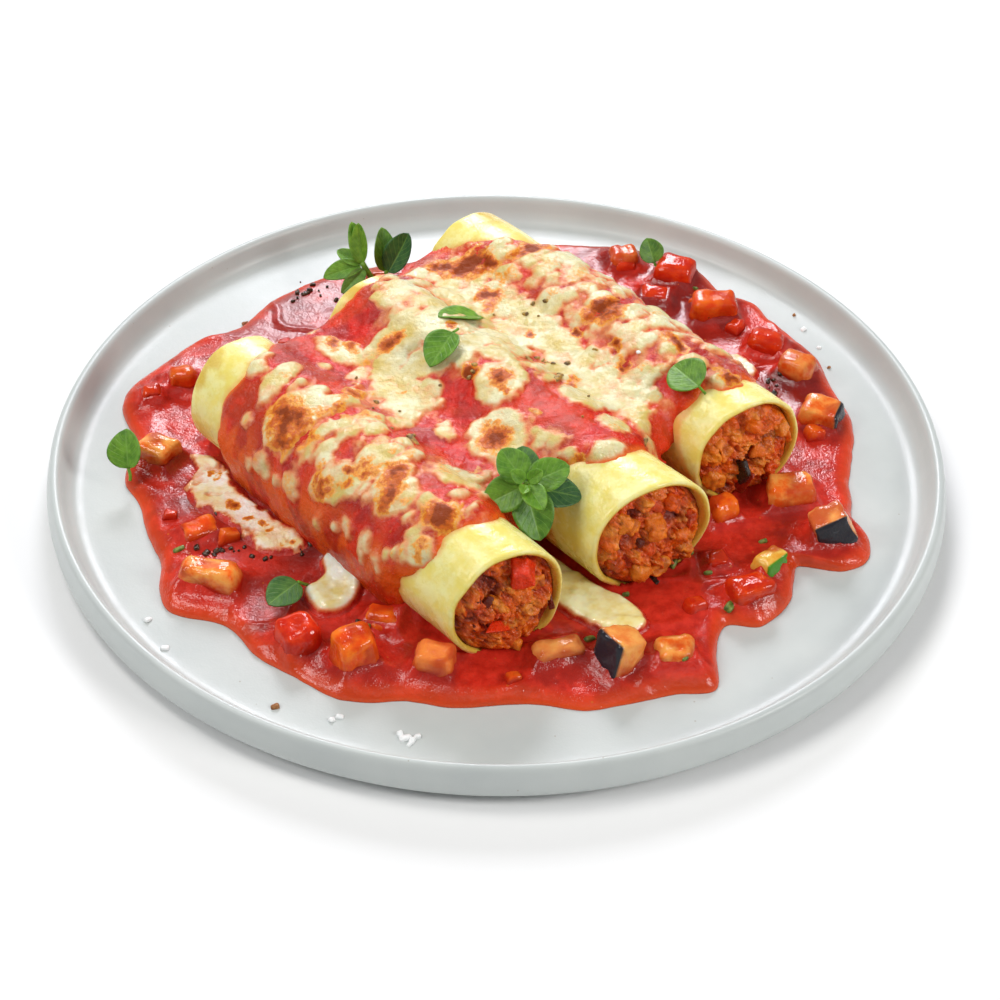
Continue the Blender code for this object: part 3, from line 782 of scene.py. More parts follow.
def pool_relief(x, y):
    """Height of the open pool: level, slow swells, a little pulp, and the sauce climbing what
    stands in it."""
    place = flat(x, y)
    height = POOL_LEVEL - 0.2 + 0.55 * rough(place, 24.0, 2, 11) + 0.16 * rough(place, 7.0, 2, 13)
    calm = smoothstep(-70.0, -88.0, y) + smoothstep(50.0, 80.0, x)
    pulp = (1.0 - 0.75 * np.clip(calm, 0.0, 1.0)) * smoothstep(-0.6, 0.5, noise(place, 30.0, 15))
    height = height + pulp * (0.16 * rough(place, 3.2, 3, 23, 0.6))
    fold = 1.0 - np.abs(noise(flat(x, y + 6.0 * noise(place, 30.0, 17)), 15.0, 19)) * 3.0
    height = height + 0.55 * smoothstep(0.2, 1.0, fold)
    for name in DICE:
        away = cube_footprint(name, x, y)
        height = height + 2.4 * np.exp(-np.maximum(away, 0.0) / 1.4)
    u, v = to_uv(x, y)
    for roll in ROLLS:
        past_front = u - roll.front - MOUTH_SLANT * (v - roll.v)
        along = np.maximum(np.maximum(roll.back - u, past_front), 0.0)
        side = np.abs(v - roll.v) - ROLL_FOOT
        away = np.hypot(along, np.maximum(side, 0.0))
        height = height + 1.1 * np.exp(-away / 1.6)
        under = smoothstep(-0.6, -2.2, np.maximum(side, np.where(along > 0, along, -9.0)))
        height = height * (1.0 - under) + POOL_UNDER_ROLLS * under
    drawn = smoothstep(-44.0, -34.0, u) * smoothstep(42.0, 34.0, u)
    bank = np.maximum(ROLLS[0].v - 12.0 - v, v - ROLLS[2].v - 12.0)
    return height + 7.0 * drawn * np.exp(-np.maximum(bank, 0.0) / 3.0) * (bank > -4.0)


def make_pool():
    """A grid in turn and share of the edge radius.  The height is the relief, brought down to
    the plate over the last few millimetres along a quarter of an ellipse."""
    around = 800
    turn = np.linspace(-math.pi, math.pi, around, endpoint=False)
    inner = np.linspace(0.06, 0.46, 16, endpoint=False)
    middle = np.linspace(0.46, 0.955, 82, endpoint=False)
    outer = 1.0 - 0.045 * (1.0 - np.linspace(0.0, 1.0, 16)) ** 1.8
    share = np.concatenate([inner, middle, outer])[:, None]
    ring = flat(40 * np.cos(turn), 40 * np.sin(turn))
    edge = edge_radius(turn)[None, :] * (1.0 + 0.004 * rough(ring, 4.0, 3, 5))
    radius = share * edge
    x, y = radius * np.cos(turn), radius * np.sin(turn)
    inward = edge - radius
    width = 4.2 + 1.6 * noise(flat(x, y), 17.0, 3)
    rise = np.sqrt(1.0 - (1.0 - np.clip(inward / width, 0.0, 1.0)) ** 2) ** 1.15
    floor = PLATE_FLOOR + 0.05
    height = floor + (pool_relief(x, y) - floor) * rise
    warm = 0.75 + 0.25 * smoothstep(40.0, 70.0, x) * smoothstep(-30.0, -60.0, y)
    thick = smoothstep(0.1, 2.0 * warm, height - floor)
    thick = thick * (0.45 + 0.55 * smoothstep(0.5, 5.5, inward))
    top = np.stack([x, y, height], axis=-1).reshape(-1, 3)
    bottom = floor - 0.03
    under_radius = (edge * 0.996)[0]
    under = np.stack([under_radius * np.cos(turn), under_radius * np.sin(turn),
                      turn * 0 + bottom], axis=-1)
    points = np.concatenate([top, under, [[0, 0, POOL_UNDER_ROLLS], [0, 0, bottom]]])
    rows = len(share) + 1
    v = to_uv(x, y)[1]
    # Painted shade: the sauce darkens to maroon towards the back, behind the rolls; the spots below
    # are dark wet patches round the pepper.
    stewed = 0.7 * smoothstep(-5.0, 45.0, y + 0.25 * x) * smoothstep(22.0, 52.0, v)
    for place_x, place_y, reach in STEWED_SPOTS:
        stewed = np.maximum(stewed, np.exp(-(np.hypot(x - place_x, y - place_y) / reach) ** 2))
    stewed = stewed * smoothstep(-0.5, 0.35, rough(flat(x, y), 16.0, 3, 27))
    stewed = stewed * smoothstep(0.5, 4.0, inward)
    ends = np.zeros(around + 2)
    shape = Shape(points, grid_quads(rows, around, close_columns=True), end_fans(rows, around),
                  thick=np.concatenate([thick.ravel(), ends]),
                  stewed=np.concatenate([np.clip(stewed, 0.0, 1.0).ravel(), ends]))
    made = sauce_finish("tomato_sauce", *POOL_SAUCE, 3.0, 0.60, 0.10, 0.46)
    add_piece("tomato_sauce_pool", shape, made, ["sauce_pool"])


# ------------------------ pasta rolls and their filling

def roll_surface(roll, turn, inset):
    """Across and up of points round a roll: an ellipse drawn in by inset, flat below."""
    across = (roll.half_width - inset) * np.cos(turn)
    up = np.maximum((roll.half_height - inset) * np.sin(turn),
                    inset - FLATTENING * roll.half_height)
    return across, axis_height(roll) + up


def make_tube(roll, seed):
    """A sleeve: outer wall, rounded front lip, inner wall and rounded back lip, as one closed
    loop of rings.  The lip is cut aslant and wavers, and the wall swells and dents slowly."""
    around = 132
    turn = np.linspace(0.0, TAU, around, endpoint=False)
    length = roll.front - roll.back
    outer = np.concatenate([np.linspace(0.0, 0.14, 16), np.linspace(0.16, 0.74, 18),
                            np.linspace(0.755, 1.0, 46)])
    inner = outer[::-1][::4]
    arc = np.linspace(0.0, math.pi, 8)[1:-1]
    half = PASTA_WALL / 2
    share = np.concatenate([outer, 0 * arc + outer[-1], inner, 0 * arc + outer[0]])
    inset = np.concatenate([0 * outer, half * (1 - np.cos(arc)), 0 * inner + PASTA_WALL,
                            half * (1 + np.cos(arc))])
    past = np.concatenate([0 * outer, half * np.sin(arc), 0 * inner, -half * np.sin(arc)])
    share, inset, past = share[:, None], inset[:, None], past[:, None]
    across, _ = roll_surface(roll, turn[None, :], inset)
    ring = flat(20 * np.cos(turn), 20 * np.sin(turn), seed * 9.0)[None]
    waver = 0.9 * rough(ring, 14.0, 2, seed) * smoothstep(0.6, 1.0, share)
    back_waver = 0.8 * rough(ring + 50.0, 14.0, 2, seed) * smoothstep(0.3, 0.0, share)
    slant = MOUTH_SLANT * across * smoothstep(0.5, 1.0, share)
    u = roll.back + half + (length - 2 * half) * share + past + waver + back_waver + slant
    place = flat(u, 18 * np.cos(turn)[None], 18 * np.sin(turn)[None] + seed * 31.0)
    swell = 0.45 * rough(place, 16.0, 2, seed + 3) + 0.10 * rough(place, 3.2, 2, seed + 5)
    low = smoothstep(-0.55, -0.9, np.sin(turn))[None]
    across, z = roll_surface(roll, turn[None, :], inset - swell * (1 - low) * 0.8)
    points = to_xyz(u, roll.v + across, z)
    rim = smoothstep(0.4, 1.2, inset) * smoothstep(0.9, 1.0, share) * np.ones_like(u)
    toasted = smoothstep(0.14, 0.02, share) * smoothstep(0.0, 0.5, rough(place, 6.0, 3, seed + 6))
    rim = np.maximum(rim, 0.8 * toasted)
    wet = z - POOL_LEVEL
    stain = smoothstep(5.5, 0.2, wet + 1.6 * rough(place, 4.0, 2, seed + 8)) * 0.85
    seam = blanket_inside(u, roll_turn_to_s(roll, turn)[None] + 0 * u)
    stain = np.maximum(stain, 0.6 * smoothstep(-1.8, 0.5, seam) * (inset < 0.5))
    return Shape(points, grid_quads(len(share), around, True, True), rim=rim, stain=stain)


def roll_turn_to_s(roll, turn):
    """The length over the drape at a turn round a roll; far away from the topping underneath."""
    index = [arc[5] for arc in ARCS].index(roll)
    centre, radius, start, end, _, _ = ARCS[index]
    turn = np.where(turn > 1.5 * math.pi, turn - TAU, turn)
    return ARC_STARTS[index] + (start - turn) * radius


def mouth_point(roll, share, turn, bulge):
    """A point of a filling's front face at a share of the way from its middle to its rim."""
    across, z = roll_surface(roll, turn, PASTA_WALL + FILLING_GAP)
    across, rise = across * share, (z - axis_height(roll)) * share
    u = roll.front - FRONT_RECESS + MOUTH_SLANT * across + bulge
    return to_xyz(u, roll.v + across, axis_height(roll) + rise)


def filling_bulge(roll, share, turn):
    """How far the filling's face stands out: a dome that is fuller at the bottom."""
    return (2.2 * (1 - share ** 2.2) - 2.2 * share * np.sin(turn)
            - 1.4 * smoothstep(0.84, 1.0, share))


def crag(face, seed):
    """Relief, tone and painted shade of minced filling: torn lumps of several sizes, made by
    looking up lumpy cells through swirling space, with a few deep pits; the shade darkens cracks,
    pits and low places."""
    swirl = np.stack([rough(face, 3.0, 3, seed + k) for k in (0, 20, 40)], axis=-1)
    near, after, tag = cells(face + 2.2 * swirl, 5.8, seed)
    small_near, small_after, small_tag = cells(face + 1.8 * swirl, 2.9, seed + 1)
    gap, small_gap = after - near, small_after - small_near
    shreds = 1.0 - 2.0 * np.abs(rough(face + 1.0 * swirl, 3.2, 2, seed + 4))
    relief = 2.8 * (tag - 0.5) + 1.0 * smoothstep(0.0, 0.40, gap) - 0.8
    relief = relief + 0.8 * (small_tag - 0.5) + 0.5 * smoothstep(0.0, 0.35, small_gap)
    relief = relief + 0.4 * (shreds - 0.6) + 0.12 * rough(face, 0.8, 2, seed + 5)
    pits = smoothstep(0.32, 0.58, rough(face, 5.0, 2, seed + 9))
    relief = relief - 1.6 * pits
    # Painted shade in the cracks between lumps, in the pits and where the relief sinks.
    hollow = 0.35 * smoothstep(0.10, 0.0, gap) + 0.20 * smoothstep(0.10, 0.0, small_gap)
    hollow = hollow + 0.55 * pits + 0.3 * smoothstep(-1.4, -2.8, relief)
    tone = 0.40 + 0.30 * tag + 0.16 * small_tag + 0.30 * rough(face, 4.0, 2, seed + 6)
    return relief, np.clip(tone, 0.14, 0.90), np.clip(hollow, 0.0, 1.0)


# Pieces that stand out of each filling: across and up the mouth, half sizes, heading, pitch
# and roll in degrees, taper, tone
FILLING_PIECES = {
    "front": (
        (3.6, 9.6, 3.2, 2.6, 3.2, -40, 20, 10, 0.25, 1.0),
        (-4.4, -4.4, 3.9, 1.5, 1.3, -62, -40, 20, 0.45, 1.0),
        (-8.4, 4.4, 1.3, 0.7, 0.9, 0, 30, 0, 0.4, 0.02),
        (-9.6, -3.7, 0.7, 0.6, 1.0, 0, 0, 20, 0.2, 0.04),
        (-5.5, 3.2, 1.0, 0.8, 1.6, 30, 20, 0, 0.2, 0.04),
        (1.5, -8.0, 0.8, 0.7, 0.7, 0, 0, 0, 0.2, 0.04),
        (11.6, -3.0, 2.2, 0.6, 1.0, -20, 40, 0, 0.5, 0.04),
        (-3.0, 1.5, 2.6, 1.3, 1.4, 10, 50, 30, 0.2, 0.86),
        (8.0, 4.0, 2.4, 1.4, 1.6, 60, 10, 0, 0.2, 0.8),
        (-1.0, -12.0, 3.4, 1.2, 1.4, 30, 0, 0, 0.2, 0.82),
    ),
    "middle": (
        (-7.6, 7.0, 2.9, 2.3, 2.5, 20, 10, 30, 0.2, 0.84),
        (0.3, 4.0, 3.6, 2.2, 2.0, -30, 20, 0, 0.15, 0.78),
        (7.2, -2.6, 2.6, 2.0, 2.2, 50, 0, 30, 0.2, 0.68),
        (-4.4, -8.2, 2.9, 2.2, 2.4, 0, 30, 10, 0.2, 0.86),
        (1.8, -10.0, 2.5, 1.9, 2.2, 70, 20, 0, 0.2, 0.88),
        (10.8, 1.5, 1.6, 1.4, 2.2, 0, 0, 0, 0.2, 0.35),
        (-11.0, -4.6, 2.4, 2.0, 2.4, 0, 0, 20, 0.2, 0.5),
        (-4.6, 0.6, 1.5, 1.0, 0.9, 0, 20, 0, 0.2, 0.03),
        (-0.5, -14.0, 1.9, 1.1, 1.0, 0, 10, 0, 0.2, 0.0),
        (5.6, 8.6, 2.6, 1.8, 1.6, 20, 0, 20, 0.2, 0.5),
    ),
    "back": (
        (-3.4, -3.4, 3.4, 1.1, 2.6, -10, 50, 0, 0.4, 0.0),
        (-1.6, -9.6, 1.5, 0.9, 4.2, 20, 20, 0, 0.3, 0.10),
        (-8.4, 3.6, 2.6, 2.0, 2.2, 0, 0, 20, 0.2, 0.8),
        (3.8, 0.8, 3.0, 1.9, 2.2, 60, 0, 0, 0.2, 0.75),
        (-10.6, -5.6, 2.4, 1.8, 2.6, 0, 20, 0, 0.2, 0.84),
        (5.2, -6.4, 2.6, 1.7, 1.9, 0, 0, 20, 0.2, 0.45),
        (9.5, 4.4, 2.2, 1.6, 1.7, 20, 0, 0, 0.2, 0.86),
        (0.4, 8.4, 2.9, 1.9, 1.7, -30, 0, 0, 0.2, 0.7),
    ),
}


def make_filling(roll, seed):
    """A plug with craggy faces at both ends, and pieces of vegetable standing out of the
    front one."""
    around, rings = 176, 62
    turn = np.linspace(0.0, TAU, around, endpoint=False)[None]
    share = np.linspace(1.0, 0.02, rings)[:, None]
    bulge = filling_bulge(roll, share, turn)
    face = mouth_point(roll, share, turn, bulge)
    relief, tone, hollow = crag(face, seed)
    relief = relief * (0.3 + 0.7 * smoothstep(1.0, 0.88, share))
    face = mouth_point(roll, share, turn, bulge + relief)
    # Painted shade round the face's rim, where the pasta's edge overhangs it.
    hollow = np.maximum(hollow, 0.8 * smoothstep(0.93, 1.0, share))
    back_rings = 30
    back_share = np.linspace(0.03, 1.0, back_rings)[:, None]
    across, z = roll_surface(roll, turn, PASTA_WALL + FILLING_GAP)
    middle = axis_height(roll)
    back_end = roll.back + BACK_RECESS
    back_v, back_z = roll.v + across * back_share, middle + (z - middle) * back_share
    flat_back = to_xyz(back_end, back_v, back_z)
    back_relief, back_tone, back_crevice_shade = crag(flat_back, seed + 60)
    out = 1.2 * (1.0 - back_share ** 2) + back_relief * smoothstep(1.0, 0.85, back_share)
    back_face = to_xyz(back_end - out, back_v, back_z)
    points = np.concatenate([back_face.reshape(-1, 3), face.reshape(-1, 3),
                             back_face[0].mean(axis=0)[None], face[-1].mean(axis=0)[None]])
    rows = rings + back_rings
    shapes = [Shape(points, grid_quads(rows, around, close_columns=True), end_fans(rows, around),
                    tone=np.concatenate([back_tone.ravel(), tone.ravel(), [0.4, 0.4]]),
                    hollow=np.concatenate([back_crevice_shade.ravel(), hollow.ravel(), [0.2, 0.2]]))]
    for index, entry in enumerate(FILLING_PIECES[roll.name]):
        across, rise, *half, heading, pitch, lean, taper, shade = entry
        reach = math.hypot(across / roll.half_width, rise / roll.half_height)
        angle = math.atan2(rise / roll.half_height, across / roll.half_width)
        out = filling_bulge(roll, reach, angle) + (0.3 if shade in (0.0, 1.0) else -0.9)
        centre = to_xyz(roll.front - FRONT_RECESS + MOUTH_SLANT * across + out, roll.v + across,
                        axis_height(roll) + rise)
        body, quads, _ = chunk(half, seed + index, taper, 0.1, 0.5, FINE,
                               0.5 if shade < 1.0 else 0.3)
        knob = 0.0
        if 0.2 < shade < 0.95:
            near, _, _ = cells(body + index * 9.0, 2.0, seed + index)
            knob = 0.7 * (0.45 - near) + 0.9 * rough(body + index * 5.0, 2.4, 3, seed)
            body = body * (1.0 + knob / np.linalg.norm(body, axis=1))[:, None]
        placed = body @ turned_axes(heading + math.degrees(HEADING), pitch, lean) + centre
        # Painted shade where a piece's surface dents in.
        piece_crevice_shade = 0.5 * smoothstep(-0.1, -0.4, knob + 0.0 * body[:, 0])
        shapes.append(Shape(placed, quads, tone=shade, hollow=piece_crevice_shade))
    return join(shapes)


def make_rolls():
    """Each roll's pasta sleeve and its filling."""
    pasta, mince = pasta_finish(), filling_finish()
    for seed, roll in enumerate(ROLLS, start=1):
        add_piece("pasta_sleeve_" + roll.name, make_tube(roll, seed), pasta,
                  ["pasta_tube_" + roll.name])
        add_piece("minced_filling_" + roll.name, make_filling(roll, 100 * seed), mince,
                  ["filling_" + roll.name])


# ------------------------ topping

# Where the sauce on the rolls ends, towards the back and towards the front: (s, u)
BLANKET_BACK = (
    (-8, -39), (0, -40), (30, -42), (40, -45), (48, -51), (58, -51), (75, -51), (88, -51),
    (100, -52), (107, -57), (114, -59), (124, -51), (130, -45), (137, -39), (150, -37), (176, -37),
)
BLANKET_FRONT = (
    (-8, 33), (0, 35), (13, 38), (18, 40), (25, 43), (32, 44), (38, 46), (47, 45), (60, 44),
    (70, 42), (76, 43), (84, 50), (90, 50), (99, 50), (106, 46), (113, 43.5), (118, 43),
    (126, 43.5), (132, 48), (145, 46), (176, 44),
)


def blanket_edges(s):
    """Back and front ends of the sauce blanket along the rolls, with a ragged waver."""
    line = flat(np.asarray(s, float), 0.0)
    back = reading(BLANKET_BACK, s) + 1.2 * rough(line, 7.0, 3, 61)
    front = reading(BLANKET_FRONT, s) + 1.2 * rough(line, 6.0, 3, 67)
    return back, front


def blanket_inside(u, s):
    """Distance inside the sauce blanket's ends, in millimetres; negative past them."""
    back, front = blanket_edges(s)
    return np.minimum(u - back, front - u)


def in_valleys(s):
    """1 in the two valleys between the rolls, 0 on the rolls."""
    first = smoothstep(46.8, 55.0, s) * smoothstep(74.3, 66.0, s)
    return first + smoothstep(95.1, 103.0, s) * smoothstep(122.3, 114.0, s)


def blanket_depth(u, s):
    """How deep the blanket's colour is: 1 where the sauce is thick, less at its ends, and in
    runs and patches down the outer flanks, where the pasta shows through."""
    place = flat(u, s)
    deep = np.maximum(smoothstep(0.0, 2.6, blanket_inside(u, s)), in_valleys(s))
    side = np.minimum(s, DRAPE_LENGTH - s) + 3.0 * noise(place, 9.0, 98)
    runs = smoothstep(-0.35, 0.40, rough(flat(u, s / 2.2), 5.0, 3, 97))
    deep = deep * (1.0 - smoothstep(24.0, 12.0, side) * (0.15 + 0.65 * runs))
    return deep * (0.80 + 0.20 * smoothstep(-0.3, 0.4, rough(place, 8.0, 2, 88)))


def sauce_top(u, s):
    """Height of the sauce on the rolls over the drape: about a millimetre with pulpy relief,
    brought down to the pasta at its ends, and spreading at the foot of the front roll."""
    seat = drape(s)[4]
    inside = blanket_inside(u, s)
    place = flat(u, s)
    relief = 0.40 * rough(place, 7.0, 2, 71) + 0.16 * rough(place, 1.7, 2, 73)
    cover = dome(inside, 4.2)
    rest = seat - 0.3
    inner = smoothstep(0.0, 6.0, inside)
    top = 1.0 + relief + 0.6 * seat * (1.0 - inner)
    foot = smoothstep(9.0, -7.0, s) + smoothstep(DRAPE_LENGTH - 9.0, DRAPE_LENGTH + 7.0, s)
    height = rest + (top + 3.4 * foot ** 2 - rest) * cover
    slump = in_valleys(s) * smoothstep(9.0, -1.0, reading(BLANKET_FRONT, s) - u)
    return height - 7.0 * slump ** 2


# Size of the round shreds that the cheese melted from
SHRED = 6.2
BAKED_SAUCE = ((0.56, 0.010, 0.003), (0.86, 0.13, 0.010))     # deep, shallow
# Broad cheese: u, s, half size along u and along s, turn in degrees, thickness
CHEESE_SHEETS = (
    (-14, 37, 13, 7.5, 0, 1.8), (6, 37, 16, 7, 0, 1.8), (16, 33, 9, 8, 0, 1.6),
    (-8, 27, 5, 7, 0, 0.9), (2, 27, 5, 6, 0, 1.2), (-9, 51, 12, 14, 15, 1.8),
    (10, 43, 11, 3.6, 0, 1.5), (-13, 63, 15, 9, 0, 1.9), (27, 47, 8, 7.5, 0, 1.5),
    (35, 42, 7, 4, 0, 1.3), (28, 63, 9, 6, 0, 1.5), (-20, 78, 19, 14, 0, 1.9),
    (-18, 95, 30, 14, 0, 1.9), (-40, 84, 7, 5, 0, 1.3), (-42, 92, 8, 8, 0, 1.3),
    (-48, 103, 8, 8, 0, 1.5), (-22, 113, 36, 15, 0, 1.9), (14, 110, 26, 12, 0, 1.9),
    (-6, 128, 34, 9, 0, 1.6), (-42, 128, 6, 6, 0, 1.0), (22, 128, 17, 9, 0, 1.4),
    (-18, 140, 22, 9, 0, 1.3), (16, 142, 24, 9, 0, 1.3), (-2, 155, 34, 9, 0, 1.0),
    (30, 108, 16, 10, 0, 1.8), (44, 131, 6, 5, 0, 1.3), (32, 76, 9, 4, 0, 0.5),
)
# Single lumps of cheese with clear outlines
CHEESE_LENSES = (
    (-39.5, 33.3, 3.8, 3.4, 0, 1.5), (-42.3, 37.6, 2.4, 3.6, 20, 1.0),
    (-31.5, 34.8, 3.7, 9.8, 19, 1.5), (-18.5, 29.0, 7.3, 10.6, 0, 2.0),
    (-7.5, 29.4, 2.9, 4.6, 0, 1.0), (-8.7, 23.8, 2.1, 1.7, 0, 0.7),
    (-19.3, 14.6, 3.7, 4.0, 0, 0.6), (-7.2, 15.0, 3.7, 4.2, 0, 0.7),
    (-12.9, 13.0, 2.1, 2.0, 0, 0.5), (7.5, 23.2, 9.0, 5.4, 35, 1.9),
    (2.2, 20.0, 3.0, 5.0, -12, 1.8), (-1.3, 27.5, 2.8, 6.0, 10, 1.6),
    (19.3, 32.6, 3.6, 7.6, 0, 1.8), (24.2, 30.0, 5.0, 7.4, -8, 1.9),
    (12.4, 30.2, 3.6, 4.6, 0, 1.6), (15.4, 26.6, 1.7, 2.3, 0, 0.9), (18.0, 25.4, 1.3, 1.5, 0, 0.6),
    (31.4, 33.6, 2.8, 3.5, 0, 1.0), (38.4, 33.0, 5.4, 4.6, 0, 1.8), (31.0, 27.4, 1.8, 2.0, 0, 0.9),
    (35.6, 26.4, 2.2, 3.2, 0, 0.7), (40.0, 22.8, 3.7, 4.6, 0, 1.3), (31.0, 17.2, 1.7, 2.4, 0, 0.9),
    (34.0, 18.6, 1.6, 2.2, 0, 0.9), (28.3, 14.2, 1.9, 1.9, 0, 0.8), (30.2, 11.6, 1.9, 1.8, 0, 0.8),
    (16.4, 15.6, 3.2, 3.3, 0, 0.42), (23.3, 14.2, 2.5, 5.8, 0, 0.45),
    (36.6, 20.0, 1.7, 3.0, 10, 0.6), (-13.0, 19.6, 1.5, 1.2, 0, 0.4),
    (-30.0, 21.5, 1.8, 2.6, 0, 0.3), (-24.0, 12.0, 1.9, 2.4, 0, 0.35),
    (5.0, 11.0, 1.9, 2.8, 0, 0.35), (11.5, 13.0, 1.8, 2.6, 0, 0.35),
    (-34.2, 52.3, 2.6, 2.6, 0, 0.9), (-25.6, 57.4, 3.0, 4.8, 0, 1.3),
    (0.6, 52.8, 2.2, 4.2, 0, 1.3), (16.6, 42.2, 3.4, 3.8, 0, 1.4), (26.6, 47.4, 6.4, 6.4, 0, 1.7),
    (9.6, 59.8, 4.6, 4.4, 0, 1.6), (-37.0, 61.6, 10.2, 5.3, 8, 1.7),
    (-50.2, 61.6, 1.6, 2.0, 0, 1.2), (-42.4, 81.2, 3.4, 4.0, 0, 1.3),
    (7.2, 81.8, 8.6, 8.2, 0, 1.8), (20.2, 69.0, 9.0, 9.2, 0, 1.9), (23.6, 80.4, 3.3, 1.5, 0, 0.8),
    (34.8, 77.6, 3.2, 2.6, 0, 0.5), (28.5, 76.2, 3.0, 2.2, 20, 0.45),
    (47.6, 83.2, 4.6, 6.2, 0, 1.4), (24.6, 96.4, 7.6, 6.7, 0, 1.8),
    (37.8, 95.0, 5.4, 6.4, 12, 1.6), (46.4, 107.0, 2.7, 2.2, 0, 0.8),
    (36.5, 131.4, 3.8, 2.4, 0, 1.4), (31.8, 116.4, 2.2, 2.6, 0, 0.8),
    (14.5, 127.6, 3.0, 3.2, 0, 1.3), (-15.8, 135.5, 3.6, 3.6, 0, 1.3),
    (45.0, 132.0, 4.2, 3.6, 0, 1.3),
)
# Sauce showing through the cheese: u, s, half sizes, turn, depth
SAUCE_GAPS = (
    (2.2, 32.3, 3.3, 3.4, 0, 3.0), (-7.4, 36.6, 2.6, 2.2, 0, 2.6), (29, 38.6, 5.0, 2.6, 0, 2.8),
    (-11.2, 28.5, 0.9, 6.5, 0, 2.0), (-4.6, 28.0, 0.9, 4.5, 0, 1.6),
    (18.6, 44.0, 1.7, 4.4, 0, 2.2), (9.0, 51.5, 8.0, 6.2, 20, 3.4), (18.5, 54.5, 5.0, 3.6, 0, 2.6),
    (22.8, 56.0, 3.6, 2.0, 0, 1.0), (-43, 72, 10.5, 9.0, 0, 3.4), (-3.5, 73.4, 6.6, 4.4, 0, 3.2),
    (5.5, 70.0, 6.5, 3.4, -30, 3.0), (2.6, 59.5, 1.4, 4.0, 0, 1.8), (15.2, 60.5, 1.3, 3.6, 0, 1.6),
    (29, 85.2, 14, 5.4, 0, 3.4), (14.5, 96.5, 1.9, 5.0, 15, 1.9), (31.6, 96.8, 1.5, 5.0, 0, 1.8),
    (-40, 91, 1.9, 6.0, 22, 1.8), (-29, 125.6, 11, 1.3, 0, 1.9), (-11, 129.4, 5, 1.2, 0, 1.9),
    (-8.5, 117, 2.2, 3.2, 0, 1.5), (-8, 134.5, 5.5, 2.0, 0, 2.0), (10, 130, 3, 1.3, 0, 1.7),
    (18, 129.2, 5.0, 1.5, -45, 1.8), (26.5, 125.6, 5.0, 1.5, 0, 1.8),
    (33.6, 121.4, 4.6, 3.6, 0, 2.4), (41.5, 127, 1.9, 7.0, 10, 2.2), (43.5, 113, 3.6, 9, 32, 2.6),
    (-57, 112, 3.2, 14, 0, 2.6), (-48, 130, 8, 3.2, -50, 2.6), (-37.5, 145, 5, 9, 0, 2.2),
    (8, 147, 12, 2, 20, 1.8), (-16, 152, 10, 2.4, -15, 1.8), (26, 152, 9, 2.6, 10, 1.8),
    (-14, 57.5, 0.8, 5.5, 35, 1.0), (0.5, 64.5, 1.1, 3.4, 0, 1.4), (-2, 105, 1.2, 5, 35, 0.7),
    (-4, 88.5, 3.2, 2.2, 0, 0.9),
)
# Browned spots, and one painted shadow of the floating leaf: u, s, half sizes, turn, strength
BROWNED_AND_LEAF_SHADOW = (
    (-18, 28.2, 6.2, 5.0, 0, 0.95), (-15.6, 22.4, 2.4, 2.6, 0, 0.6),
    (4.2, 20.2, 3.2, 2.6, 35, 0.75), (22.6, 29.0, 2.6, 4.6, 15, 0.85),
    (18.6, 34.2, 2.4, 4.0, 10, 0.75), (13, 30, 2, 2, 0, 0.6), (8, 28, 1.6, 1.6, 0, 0.5),
    (10, 24, 1.6, 1.6, 0, 0.45), (38.4, 33.2, 4.0, 3.6, 0, 1.3), (40, 22.5, 2.2, 2.4, 0, 0.5),
    (-16.0, 47.4, 2.4, 4.8, 15, 0.7), (22.8, 55.6, 3.2, 1.7, 0, 0.9),
    (-41.4, 62, 2.9, 2.1, 0, 0.85), (-35.6, 64.6, 2.4, 1.8, 0, 0.7), (-27, 73, 2.4, 4, -8, 0.75),
    (-27.4, 64, 1.3, 2.6, 0, 0.4), (7, 82.2, 3.6, 2.6, 0, 0.9), (20.4, 68.0, 3.9, 4.6, 0, 1.0),
    (23, 80.5, 2.5, 1.2, 0, 0.5), (-49.5, 111, 3.2, 3.2, 0, 0.8), (-44.2, 117.4, 3.4, 5.2, 0, 1.2),
    (-40, 122, 2.6, 1.7, 0, 0.7), (-34.5, 133, 2.4, 5, 0, 0.9), (-30, 112, 2.6, 3.4, 0, 0.85),
    (-25.5, 108, 1.6, 3.4, 0, 0.5), (-9, 109, 2, 1.8, 0, 0.7), (1, 128, 3.4, 3.6, 0, 0.9),
    (2, 133.4, 2, 2, 0, 0.7), (26, 132, 4, 1.7, 0, 0.85), (20, 118, 2, 1.6, 0, 0.6),
    (0, 118, 1.7, 1.7, 0, 0.65), (13, 122, 2, 1.3, 0, 0.65), (45, 133.2, 3, 2.2, 0, 0.8),
    (-5, 44, 4, 2.4, 0, 0.30), (-10, 38, 3, 2, 0, 0.30), (-11, 62, 1.6, 1.4, 0, 0.4),
    (16, 100, 1.7, 3.2, 20, 0.9), (-7.5, 28.8, 1.4, 1.4, 0, 0.5), (-1.5, 79.0, 1.6, 1.6, 0, 1.1),
    # The last spot on the next line, at u -20 and s 87.5, is a painted shadow under the floating
    # leaf's tip.
    (11, 80.2, 2.0, 1.0, 0, 0.4), (42.8, 76.5, 2.0, 2.4, 0, 0.5), (-20, 87.5, 1.8, 1.0, 0, 0.7),
)


def ellipse_reach(u, s, entry):
    """Distance from the middle of a turned ellipse, as a share of its edge distance."""
    turn = math.radians(entry[4])
    along, up = u - entry[0], s - entry[1]
    a = (along * math.cos(turn) + up * math.sin(turn)) / entry[2]
    b = (up * math.cos(turn) - along * math.sin(turn)) / entry[3]
    return np.sqrt(a * a + b * b)


